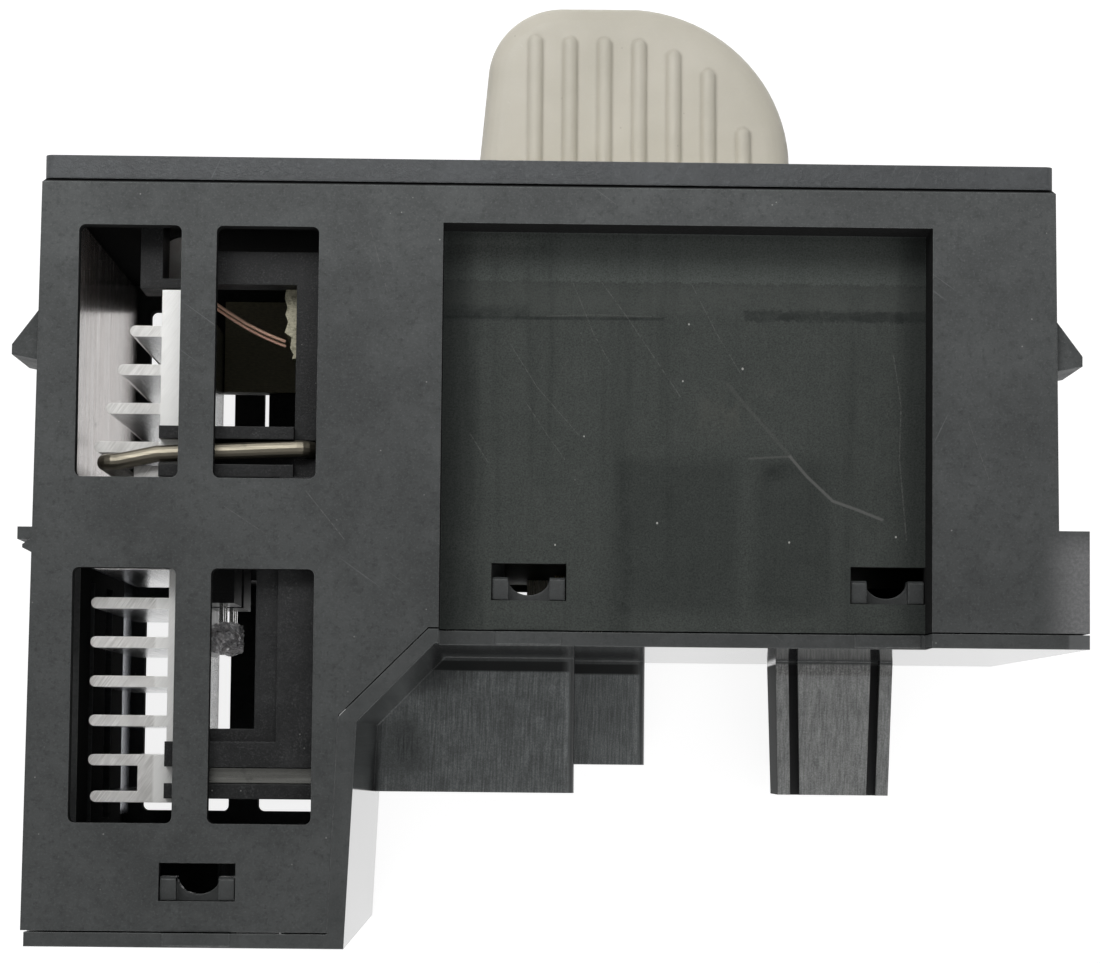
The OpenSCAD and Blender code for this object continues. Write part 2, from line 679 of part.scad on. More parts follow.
// Where the wire lies: hooked end, edge of the spine, far end
wire_run = [
    [wire_end_x, from_fin(14.9)], [spine_x + 3.8, from_fin(15.7)],
    [fin_tip_x - 1.3, fin_y + 3 * fin_pitch + fin_t + wire_r + 0.2]
];
function bend_down(p, s) = [
    for (a = arc([0, 0], wire_bend, 90, 0, 5))
        [p[0] + s * (a[0] - wire_bend), p[1], wire_z - wire_bend + a[1]]
];
function reversed(p) = [for (i = [len(p) - 1 : -1 : 0]) p[i]];
module spring_clip_front() {
    first = wire_run[0];
    last = wire_run[2];
    color([0.55, 0.52, 0.42]) tube(concat(
        [[first[0], first[1], wire_leg_low]],
        reversed(bend_down(first, -1)),
        [[wire_run[1][0], wire_run[1][1], wire_z]],
        bend_down(last, 1),
        [[last[0], last[1], sink_top - 26.2]]
    ), wire_r, wire_sides);
}
strip_x = [carrier_x[0] + 0.5, spine_x - 0.6];
strip_y = [rear_bars[0][1] + 0.1, rear_bars[1][0] - 0.1];
strip_t = 0.7;
module spring_clip_rear() {
    z1 = bar_top - 1.1;
    color([0.62, 0.62, 0.6]) {
        block([strip_x[0], strip_y[0], z1 - strip_t], [strip_x[1], strip_y[1], z1]);
        for (x = [strip_x[0], strip_x[1] - strip_t])
            block([x, strip_y[0], wire_leg_low + 0.4], [x + strip_t, strip_y[1], z1]);
    }
}

// Transistors clipped to the sink's flat side, with a film between
film_t = 0.2;
package_l = 15;
package_w = 10;
lead_pitch = 2.54;
transistor_y = from_fin(18.1);
transistor_z = [sink_top - 20.2, sink_top - 33.2];
module transistor(y, z) {
    x1 = spine_x - film_t - 0.02;
    y1 = y + package_l;
    mid = z + package_w / 2;
    block([x1 - 1.3, y, z], [x1, y1, z + package_w]);
    block([x1 - 4.4, y + 5.8, z], [x1, y1, z + package_w]);
    for (k = [-1 : 1])
        block([x1 - 2.9, y1 - eps, mid - 0.4 + lead_pitch * k],
              [x1 - 2.4, y1 + 3.5, mid + 0.4 + lead_pitch * k]);
}
module transistor_front() { color([0.12, 0.12, 0.12]) transistor(transistor_y, transistor_z[0]); }
module transistor_rear() { color([0.12, 0.12, 0.12]) transistor(transistor_y, transistor_z[1]); }
module insulating_film() {
    color([0.85, 0.85, 0.82])
        block([spine_x - film_t - 0.01, transistor_y - 1.5, transistor_z[1] - 2],
              [spine_x - 0.01, transistor_y + package_l + 6, transistor_z[0] + package_w + 2]);
}

// Choke of the dimmer: ferrite drum, winding and two leads
choke = [spine_x + 2, from_fin(-9)];
choke_z = [sink_top - 20.2, carrier_low - 2.1];
choke_r = 3;
choke_core_r = 2;
flange_t = 1.6;
module choke_core() {
    color([0.8, 0.72, 0.68]) translate([choke[0], choke[1], 0]) {
        translate([0, 0, choke_z[0]]) cylinder(r = choke_r, h = flange_t);
        translate([0, 0, choke_z[0] + flange_t - eps])
            cylinder(r = choke_core_r, h = choke_z[1] - choke_z[0] - 2 * flange_t + 2 * eps);
        translate([0, 0, choke_z[1] - flange_t]) cylinder(r = choke_r, h = flange_t);
    }
}
lead_r = 0.2;
lead_step = [0, 0.5, -0.5];
lead_low = driver_z[1] - 4;
// Leads: X from the spine, Y from the first fin, Z above the board's end
lead_points = [
    for (p = [[1.2, -6.9, -2.7], [0, -5.4, -1.2], [-2, -3.9, 0.1], [-3.9, -2.6, 0.6], [-5.9, -1.35, 0.6],
              [-7.9, -0.35, 0.3], [-9.5, 0.3, 0], [-10.75, 0.75, -0.2]])
        [spine_x + p[0], from_fin(p[1]), lead_low + p[2]]
];
module choke_winding() {
    color([0.8, 0.45, 0.28]) {
        translate([choke[0], choke[1], choke_z[0] + flange_t + 0.1]) difference() {
            cylinder(r = choke_r - 0.3, h = choke_z[1] - choke_z[0] - 2 * flange_t - 0.2);
            translate([0, 0, -1]) cylinder(r = choke_core_r + 0.05, h = choke_z[1] - choke_z[0]);
        }
        for (k = [0, 1]) tube([for (p = lead_points) p + k * lead_step], lead_r, 8);
    }
}

// Switch mechanism behind the front wall, around the knob axis
base_in = 18.2;
base_out = 19.8;
base_floor = [front_y + 13.1, front_y + 15.1];
rotor_y = [front_y + 5.1, front_y + 10];
rotor_r = 15.5;
pin_r = 0.6;
pin_places = [for (i = [0 : 3]) [knob_x + (i - 1.5) * 6, -10]];

module switch_base() {
    color([0.75, 0.73, 0.66]) difference() {
        union() {
            along_y(base_out, front_y, base_floor[1], knob_x);
            block([knob_x - 27, base_floor[0], -8], [knob_x + base_out, base_floor[1], 8]);
            block([knob_x - 27, front_y, -3], [knob_x - base_in, base_floor[1], 3]);
        }
        along_y(base_in, front_y - 1, base_floor[0], knob_x);
        for (p = pin_places) along_y(pin_r + 0.05, base_floor[0] - 1, base_floor[1] + 1, p[0], p[1]);
    }
}

// Contact tracks on the base floor, one arc for each circuit
track_t = 0.6;
bridge_t = 0.5;
function ring_points(r, a0, a1) =
    [for (i = [0 : 18]) let (a = a0 + (a1 - a0) * i / 18) r * [cos(a), sin(a)]];
module track(r0, r1, a0, a1) {
    polygon(concat(ring_points(r1, a0, a1), ring_points(r0, a1, a0)));
}
module fixed_contacts() {
    color([0.8, 0.65, 0.35]) depth(base_floor[0] - track_t, base_floor[0])
        translate([knob_x, 0]) {
            track(5.4, 7.6, -80, 260);
            track(8.6, 10.6, 190, 300);
            track(11.4, 13.8, 160, 280);
        }
}

// Pins from the switch base to the main board
module contact_pins() {
    color([0.8, 0.65, 0.35])
        for (p = pin_places) along_y(pin_r, base_floor[0] + 0.02, board_back + 0.6, p[0], p[1]);
}

// Detent: a leaf in the base whose bump drops into the rotor's notches
notch_r = 1.7;
spring_w = 3.6;
spring_mid = [[-8.2, 15.7], [-5.2, 16.8], [-2.3, 16.9], [-1.1, 15.8], [0, 15.2], [1.1, 15.8], [2.3, 16.9],
              [5.2, 16.8], [8.2, 15.7]];
spring_t = 0.35;
module detent_spring() {
    y = (rotor_y[0] + rotor_y[1]) / 2;
    color([0.7, 0.7, 0.68]) depth(y - spring_w / 2, y + spring_w / 2)
        translate([knob_x, 0]) polygon(concat(
            spring_mid,
            [for (i = [len(spring_mid) - 1 : -1 : 0]) spring_mid[i] + [0, spring_t]]
        ));
}

module rotor() {
    color([0.9, 0.88, 0.82]) difference() {
        along_y(rotor_r, rotor_y[0], rotor_y[1], knob_x);
        along_y(shaft_r + 0.02, rotor_y[0] - 1, rotor_y[1] + 1, knob_x);
        for (i = [0 : 2]) rotate_about_knob(-i * step_angle)
            along_y(notch_r, rotor_y[0] - 1, rotor_y[1] + 1, knob_x, rotor_r + 0.9);
        // Relief between hub and rim
        difference() {
            along_y(rotor_r - 2.6, rotor_y[0] - 1, rotor_y[0] + 1.6, knob_x);
            along_y(shaft_r + 3, rotor_y[0] - 2, rotor_y[0] + 2, knob_x);
        }
    }
}
module rotate_about_knob(a) {
    translate([knob_x, 0, 0]) rotate([0, a, 0]) translate([-knob_x, 0, 0]) children();
}

// Brass bridge riveted to the rotor, with three sprung arms: direction and reach of each
bridge_arms = [[210, 12.4], [225, 9.6], [270, 12.4]];
module contact_bridge() {
    y = rotor_y[1];
    color([0.85, 0.68, 0.36]) {
        depth(y, y + bridge_t) translate([knob_x, 0]) difference() {
            union() {
                circle(6.8);
                for (a = bridge_arms) rotate(a[0]) translate([0, -1]) square([a[1] + 0.9, 2]);
            }
            circle(shaft_r + 0.2);
        }
        for (a = bridge_arms) rotate_about_knob(-a[0])
            along_y(0.9, y + bridge_t - 0.1, base_floor[0] - track_t - 0.3, knob_x + a[1]);
    }
}

module knob_shaft() {
    color([0.7, 0.7, 0.7]) difference() {
        along_y(shaft_r, -14, rotor_y[1] + 1.6, knob_x);
        // Groove of the retaining clip
        difference() {
            along_y(shaft_r + 1, boss_y + 0.15, boss_y + 1.05, knob_x);
            along_y(shaft_r - 0.8, boss_y, boss_y + 2, knob_x);
        }
    }
}

module retaining_clip() {
    color([0.35, 0.35, 0.36]) depth(boss_y + 0.2, boss_y + 1) translate([knob_x, 0]) difference() {
        circle(shaft_r + 1.8);
        circle(shaft_r - 0.75);
        translate([-2, 0]) square([4, 10]);
    }
}

// Paddle knob: skirt, hub and a rounded grip with ribs on both broad faces
skirt_t = 2.2;
skirt_gap = 0.35;
shoulder_r = 9.9;    // small shoulder of the grip, on the tower side
brow_r = 21.5;       // wide shoulder on the other side
foot_r = 3.5;
grip_left = knob_x + knob_w / 2;
grip_right = knob_x - knob_w / 2;
grip_half = [7.2, 4.3];  // half thickness near the skirt and near the top
// Discs that the outline of the grip wraps on either side: X, height, radius
left_discs = [
    [grip_left - foot_r, foot_r, foot_r],
    [grip_left - shoulder_r - 1.2, knob_h - shoulder_r - 0.1, shoulder_r]
];
right_discs = [[grip_right + brow_r, knob_h - brow_r, brow_r]];
// Rounded edge of the grip: how far in from the outline, how far below the face
grip_edge = [[3, 0], [2.1, 0.12], [1.35, 0.4], [0.7, 0.85], [0.3, 1.45], [0.05, 2.2], [0, 3]];
grip_steps = 44;
grip_base = 1;       // height where the grip ends inside the skirt
grip_lean = (grip_half[0] - grip_half[1]) / (knob_h - 5);
rib_r = 1.05;
rib_pitch = 4.54;
rib_first_x = knob_x + 13.05;
rib_tops = [22.2, 22.1, 22, 21.8, 20.4, 17.8, 9.8];

// Half thickness of the grip at a height
function grip_t(h) = grip_half[0] - grip_lean * (h - skirt_t);
// Point of the outline in a direction, moved in by a distance
function reach(d, u) = d[0] * u[0] + d[1] * u[1] + d[2];
function side_discs(u) = u[0] < 0 ? right_discs : left_discs;
function farthest(u) = max([for (d = side_discs(u)) reach(d, u)]);
function outline_point(u, in) =
    [for (d = side_discs(u)) if (reach(d, u) == farthest(u)) [d[0], d[1]] + (d[2] - in) * u][0];
function outline(in) = concat(
    [for (i = [0 : grip_steps]) outline_point([cos(180 * i / grip_steps), sin(180 * i / grip_steps)], in)],
    [[grip_right + in, grip_base], [grip_left - in, grip_base]]
);
function grip_ring(e, s) = [for (p = outline(e[0])) [p[0], -p[1], s * (grip_t(p[1]) - e[1])]];
module grip() {
    loft(concat(
        [for (e = grip_edge) grip_ring(e, 1)],
        [for (i = [len(grip_edge) - 1 : -1 : 0]) grip_ring(grip_edge[i], -1)]
    ));
}

module grip_rib(x, top) {
    for (s = [-1, 1])
        translate([x, -skirt_t, s * (grip_half[0] - 0.32)]) rotate([90 + s * atan(grip_lean), 0, 0]) {
            cylinder(r = rib_r, h = top - skirt_t, $fn = 24);
            translate([0, 0, top - skirt_t]) sphere(rib_r, $fn = 24);
        }
}

module knob() {
    color([0.78, 0.765, 0.71]) difference() {
        union() {
            along_y(skirt_d / 2, -skirt_gap - skirt_t, -skirt_gap, knob_x);
            along_y(hub_r, -3, 1.6, knob_x);
            grip();
            for (i = [0 : len(rib_tops) - 1]) grip_rib(rib_first_x - i * rib_pitch, rib_tops[i]);
        }
        along_y(shaft_r + 0.02, -14.1, 3, knob_x);
    }
}

// Thumbwheel with a knurled rim and its spindle in the potentiometer
knurls = 40;
module thumbwheel() {
    color([0.2, 0.2, 0.21]) difference() {
        along_x(wheel_r, wheel_x - wheel_t / 2, wheel_x + wheel_t / 2, wheel_y);
        along_x(spindle_r + 0.02, wheel_x - wheel_t, wheel_x + wheel_t, wheel_y);
        for (i = [0 : knurls - 1]) translate([0, wheel_y, 0]) rotate([i * 360 / knurls, 0, 0])
            along_x(0.55, wheel_x - wheel_t, wheel_x + wheel_t, wheel_r + 0.15);
    }
}

pot_x = [wheel_x - 11, wheel_x - 4.3];
module spindle() {
    color([0.72, 0.72, 0.72]) along_x(spindle_r, pot_x[0] + 1, rib_x + 2, wheel_y);
}

module potentiometer() {
    color([0.2, 0.28, 0.4]) difference() {
        block([pot_x[0], front_y, -8], [pot_x[1], wheel_y + 8, 8]);
        along_x(spindle_r + run_gap, pot_x[0] + 0.6, pot_x[1] + 1, wheel_y);
    }
}

main_housing();
fascia();
rear_cover();
side_plate();
heat_sink();
carrier_frame();
spring_clip_front();
spring_clip_rear();
insulating_film();
transistor_front();
transistor_rear();
dimmer_board();
driver_board();
choke_core();
choke_winding();
main_board();
main_terminals();
auxiliary_terminals();
switch_base();
fixed_contacts();
contact_pins();
detent_spring();
potentiometer();
knob();
knob_shaft();
retaining_clip();
rotor();
contact_bridge();
thumbwheel();
spindle();
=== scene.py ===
import math
import random

import bmesh
import bpy
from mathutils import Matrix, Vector


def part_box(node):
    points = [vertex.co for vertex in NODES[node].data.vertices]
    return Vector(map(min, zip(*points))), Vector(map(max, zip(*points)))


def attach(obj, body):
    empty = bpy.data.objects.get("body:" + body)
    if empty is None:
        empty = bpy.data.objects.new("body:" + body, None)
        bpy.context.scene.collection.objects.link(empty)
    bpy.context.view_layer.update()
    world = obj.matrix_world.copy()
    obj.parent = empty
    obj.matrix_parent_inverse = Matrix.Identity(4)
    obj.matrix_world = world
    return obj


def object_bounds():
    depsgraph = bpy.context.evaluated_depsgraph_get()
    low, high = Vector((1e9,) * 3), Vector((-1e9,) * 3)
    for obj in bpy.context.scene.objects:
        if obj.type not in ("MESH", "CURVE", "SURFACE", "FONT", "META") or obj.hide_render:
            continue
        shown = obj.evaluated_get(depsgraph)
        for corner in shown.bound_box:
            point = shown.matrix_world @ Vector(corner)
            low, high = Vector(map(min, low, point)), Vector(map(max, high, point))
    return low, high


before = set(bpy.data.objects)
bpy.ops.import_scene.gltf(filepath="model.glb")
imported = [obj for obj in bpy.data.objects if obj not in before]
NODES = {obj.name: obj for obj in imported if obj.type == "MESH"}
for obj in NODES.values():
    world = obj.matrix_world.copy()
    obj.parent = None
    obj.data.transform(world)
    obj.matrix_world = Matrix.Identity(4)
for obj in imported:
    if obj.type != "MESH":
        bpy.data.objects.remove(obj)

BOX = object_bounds()
MM = 0.001

# Levels and edges of the CAD parts that the marks follow, in mm
OUTER_Z = 36.0          # photographed face of the housing
RECESS_Z = 30.0         # floor of the recess
FRONT_Y = 2.8           # front of the housing, behind the fascia
BACK_Y = 58.3           # rear face of the cover between the tower and the far end
WALL_X = 61.05          # outside of the narrow walls
SHROUD_Z = -16.0        # shrouds and post lie below this level
POST_X = (-49.3, -32.2)
GROOVE_Z = -22.8        # the post's grooves lie below this level
SPINE_X = 47.0          # the sink's spine reaches up to this place
LEAD_Y = max(v[1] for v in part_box("transistor_front")) / MM - 3.5   # where the transistors' leads begin


# Node helpers

def feed(tree, socket, value):
    """Links another socket to this one, or sets its constant."""
    if isinstance(value, bpy.types.NodeSocket):
        tree.links.new(value, socket)
        return
    if hasattr(value, "__len__") and len(value) == 3 and len(socket.default_value) == 4:
        value = (*value, 1)
    socket.default_value = value


def add_node(tree, kind, inputs=None, **settings):
    """Adds a node. inputs gives its sockets by name, or by number where names repeat."""
    node = tree.nodes.new(kind)
    for key, value in settings.items():
        setattr(node, key, value)
    for key, value in (inputs or {}).items():
        feed(tree, node.inputs[key], value)
    return node


class Shader:
    """A material under construction. Object coordinates are in metres and are scaled to millimetres."""

    def __init__(self, name, base, roughness=0.5, metallic=0.0, specular=0.5):
        self.mat = bpy.data.materials.new(name)
        self.mat.use_nodes = True
        self.mat.diffuse_color = (*base, 1)
        self.tree = self.mat.node_tree
        self.bsdf = next(n for n in self.tree.nodes if n.type == "BSDF_PRINCIPLED")
        self.put("Base Color", base)
        self.put("Roughness", roughness)
        self.put("Metallic", metallic)
        self.put("Specular IOR Level", specular)
        coordinates = self.node("ShaderNodeTexCoord")
        self.mm = self.vmath("SCALE", coordinates.outputs["Object"], scale=1 / MM)
        self.plan = self.mm      # coordinates that patches use
        self.normal = None

    def put(self, name, value):
        feed(self.tree, self.bsdf.inputs[name], value)

    def node(self, kind, inputs=None, **settings):
        return add_node(self.tree, kind, inputs, **settings)

    def vmath(self, operation, a, b=None, scale=None):
        inputs = {0: a}
        if b is not None:
            inputs[1] = b
        if scale is not None:
            inputs["Scale"] = scale
        n = self.node("ShaderNodeVectorMath", inputs, operation=operation)
        return n.outputs["Value" if operation in ("DOT_PRODUCT", "LENGTH") else "Vector"]

    def math(self, operation, a, b=None):
        inputs = {0: a} if b is None else {0: a, 1: b}
        return self.node("ShaderNodeMath", inputs, operation=operation).outputs[0]

    def times(self, *factors):
        product = factors[0]
        for factor in factors[1:]:
            product = self.math("MULTIPLY", product, factor)
        return product

    def rest(self, value):
        """1 minus the value."""
        return self.math("SUBTRACT", 1.0, value)

    def mask(self, value, low, high):
        """0 below low, 1 above high, smooth between. low may be the larger one."""
        inputs = {"Value": value, "From Min": low, "From Max": high}
        return self.node("ShaderNodeMapRange", inputs, interpolation_type="SMOOTHSTEP").outputs["Result"]

    def band(self, value, low, high, soft):
        """1 between low and high, with soft ends inside them."""
        return self.times(self.mask(value, low, low + soft), self.mask(value, high, high - soft))

    def mix(self, factor, a, b):
        return self.node("ShaderNodeMix", {0: factor, 6: a, 7: b}, data_type="RGBA").outputs[2]

    def mixf(self, factor, a, b):
        return self.node("ShaderNodeMix", {0: factor, 2: a, 3: b}, data_type="FLOAT").outputs[0]

    def stretch(self, x, y, z, turn=0.0, move=(0, 0, 0)):
        """Coordinates in mm, turned about Z and then multiplied along each axis."""
        inputs = {"Vector": self.mm, "Location": move, "Rotation": (0, 0, turn)}
        return self.vmath("MULTIPLY", self.node("ShaderNodeMapping", inputs).outputs[0], (x, y, z))

    def noise(self, size, detail, rough, vector=None, output="Fac"):
        """Noise whose features are about size mm wide."""
        inputs = {"Vector": vector or self.mm, "Scale": 1.0 / size, "Detail": detail, "Roughness": rough}
        return self.node("ShaderNodeTexNoise", inputs).outputs[output]

    def cells(self, size, feature="F1", vector=None, randomness=1.0, output="Distance"):
        inputs = {"Vector": vector or self.mm, "Scale": 1.0 / size, "Randomness": randomness}
        return self.node("ShaderNodeTexVoronoi", inputs, feature=feature).outputs[output]

    def bump(self, height, depth_mm):
        """Adds a relief whose height 0..1 is depth_mm deep, on what soften has made."""
        inputs = {"Height": height, "Distance": depth_mm * MM}
        if self.normal is not None:
            inputs["Normal"] = self.normal
        self.normal = self.node("ShaderNodeBump", inputs).outputs["Normal"]

    def bevel(self, radius_mm):
        """The normal, rounded over sharp edges."""
        return self.node("ShaderNodeBevel", {"Radius": radius_mm * MM}, samples=3).outputs[0]

    def soften(self, radius_mm):
        """Rounds the shading of sharp edges."""
        self.normal = self.bevel(radius_mm)

    def edges(self, radius_mm, low, high):
        """Mask of the sharp edges, from the difference of the rounded and the true normal."""
        geometry = self.node("ShaderNodeNewGeometry")
        alike = self.vmath("DOT_PRODUCT", self.bevel(radius_mm), geometry.outputs["Normal"])
        return self.mask(self.rest(alike), low, high)

    def axis(self, name):
        """Place along an axis of the frame, in mm."""
        return self.node("ShaderNodeSeparateXYZ", {0: self.mm}).outputs[name]

    def normal_axis(self, name):
        """How far a face looks along an axis, -1..1."""
        geometry = self.node("ShaderNodeNewGeometry")
        return self.node("ShaderNodeSeparateXYZ", {0: geometry.outputs["True Normal"]}).outputs[name]

    def across(self, name):
        """How far a face looks along an axis in either direction, 0..1."""
        return self.math("ABSOLUTE", self.normal_axis(name))

    def line(self, start, end, width):
        """Mask of a scratch from start to end, points (X, Y) in mm, seen along Z."""
        length = math.dist(start, end)
        ux, uy = ((b - a) / length for a, b in zip(start, end))
        offset = self.vmath("SUBTRACT", self.mm, (*start, 0))
        along = self.vmath("DOT_PRODUCT", offset, (ux, uy, 0))
        aside = self.math("ABSOLUTE", self.vmath("DOT_PRODUCT", offset, (-uy, ux, 0)))
        half = length / 2
        middle = self.math("ABSOLUTE", self.math("SUBTRACT", along, half))
        return self.times(self.mask(aside, width, width * 0.3), self.mask(middle, half + width, half))

    def path(self, points, width):
        """Mask of a scratch through several points."""
        total = self.line(points[0], points[1], width)
        for start, end in zip(points[1:], points[2:]):
            total = self.math("MAXIMUM", total, self.line(start, end, width))
        return total

    def patch(self, low, high, soft):
        """Mask of a box in the XY plane from low to high, with soft edges, in mm."""
        centre = [(a + b) / 2 for a, b in zip(low, high)]
        half = [(b - a) / 2 for a, b in zip(low, high)]
        offset = self.vmath("ABSOLUTE", self.vmath("SUBTRACT", self.plan, (*centre, 0)))
        parts = self.node("ShaderNodeSeparateXYZ", {0: offset}).outputs
        return self.times(*(self.mask(parts[i], half[i] + soft / 2, half[i] - soft / 2) for i in (0, 1)))

    def blob(self, centre, radii, edge):
        """Mask of a soft ellipse in the XY plane; centre and radii in mm."""
        offset = self.vmath("SUBTRACT", self.mm, (*centre, 0))
        scaled = self.vmath("MULTIPLY", offset, (1 / radii[0], 1 / radii[1], 0))
        return self.mask(self.vmath("LENGTH", scaled), 1.0, 1.0 - edge)

    def done(self, color, roughness):
        self.put("Base Color", color)
        self.put("Roughness", roughness)
        self.put("Normal", self.normal)
        return self.mat


def tone(base, factor, lift=0.0):
    """The colour made brighter or darker."""
    return tuple(min(1, c * factor + lift) for c in base)


# Moulded plastic

def moulded(name, base, grain=0.3, relief=0.03, rough=(0.42, 0.6), mottle=0.16, wear=0.7, dust=0.3,
            hairs=0.3, specular=0.45, smooth=None, details=None):
    """Fine grain, mottling, specks of dust, hair scratches and paler worn edges.

    smooth(shader) is a mask of faces without grain.
    details(shader, color, roughness) adds a part's own marks.
    """
    s = Shader(name, base, specular=specular)
    s.soften(0.25)
    fine = s.noise(grain, 5, 0.7)
    pores = s.noise(grain * 2.2, 4, 0.75)
    broad = s.noise(18, 3, 0.5)
    cloud = s.noise(4.2, 5, 0.7)
    blotch = s.noise(1.3, 4, 0.65)
    s.bump(s.times(fine, s.rest(smooth(s))) if smooth else fine, relief)
    color = s.mix(s.mask(broad, 0.3, 0.72), tone(base, 1 - mottle), tone(base, 1 + mottle * 0.8))
    color = s.mix(s.times(s.mask(cloud, 0.42, 0.72), mottle * 2.4), color, tone(base, 1.35, 0.004))
    color = s.mix(s.times(s.mask(blotch, 0.52, 0.32), mottle * 2.2), color, tone(base, 0.72))
    color = s.mix(s.times(s.mask(fine, 0.5, 0.72), 0.42), color, tone(base, 1.75, 0.012))
    color = s.mix(s.times(s.mask(pores, 0.5, 0.3), 0.5), color, tone(base, 0.55))
    # Hair scratches in two directions, in a few places only
    for turn, length, shift in ((0.45, 60, 3.0), (-0.95, 80, 17.0)):
        hair = s.noise(0.4, 1, 0.5, s.stretch(1, 1 / length, 1, turn, (shift, 0, 0)))
        some = s.mask(s.noise(11, 2, 0.5, s.stretch(1, 1, 1, move=(shift, 5, 0))), 0.56, 0.66)
        color = s.mix(s.times(s.mask(hair, 0.72, 0.76), some, hairs), color, tone(base, 2.2, 0.03))
    # Specks of dust in two sizes
    for size, reach, share in ((1.7, 0.075, 0.5), (5.5, 0.032, 0.8)):
        lit = s.math("GREATER_THAN", s.cells(size, output="Color"), 1 - dust)
        speck = s.times(s.mask(s.cells(size), reach, reach * 0.4), lit, share)
        color = s.mix(speck, color, (0.3, 0.3, 0.29))
    rubbed = s.times(s.edges(0.14, 0.03, 0.16), s.mask(s.noise(0.8, 4, 0.75), 0.3, 0.6), wear)
    color = s.mix(rubbed, color, tone(base, 2.8, 0.07))
    roughness = s.mixf(s.mask(cloud, 0.3, 0.7), rough[0], rough[1])
    if details:
        color, roughness = details(s, color, roughness)
    return s.done(color, roughness)


# Marks of the photographed side. Points are (X, Y) in mm, a width is half of the scratch's width in mm.

RECESS_PLAIN = (0.035, 0.04, 0.036)
RECESS_DARK = (0.0085, 0.0105, 0.0105)
RECESS_PALE = (0.070, 0.075, 0.070)
LONG_SCRATCH = ((-29.65, 34.9), (-31.7, 37.3), (-34.9, 40.3), (-37.8, 41.3), (-40.9, 42.5))
SCRATCH_START = ((-21.9, 26.0), (-23.9, 28.4), (-27.6, 32.5), (-29.65, 34.9))
SCRATCH_BRANCH = ((-24.6, 35.2), (-29.4, 34.9))
FINE_SCRATCHES = (
    (((-6.3, 13.5), (-9.6, 17.95), (-12.9, 22.8), (-16.2, 27.7)), 0.09),
    (((-3.0, 13.9), (-5.5, 20.0), (-7.6, 23.7)), 0.08),
    (((4.65, 21.4), (1.3, 26.7), (-4.0, 32.7)), 0.08),
    (((2.7, 28.5), (0.1, 32.4), (-2.2, 35.6)), 0.08),
    (((9.4, 32.5), (7.1, 36.1)), 0.1),
    (((-17.3, 13.5), (-20.6, 19.9), (-23.5, 24.7)), 0.08),
    (((-42.2, 22.1), (-43.2, 28.6), (-43.0, 35.0), (-43.9, 45.0)), 0.12),
)
OUTER_SCRATCHES = (
    (((28.9, 40.2), (24.1, 46.1)), 0.08),
    (((21.6, 8.4), (19.3, 16.6)), 0.05),
    (((-50.5, 31), (-53, 38)), 0.05),
    (((33.5, 45.5), (38.6, 42.2)), 0.05),
)
SPECKS = (   # X, Y and radius
    (-17.2, 18.8, 0.14), (-16.5, 25.8, 0.13), (-23.8, 24.2, 0.18), (-13.5, 43.2, 0.16),
    (-29.6, 45.4, 0.15), (-4.5, 32.7, 0.12), (-1.1, 46.0, 0.14), (-42.6, 44.6, 0.15),
)


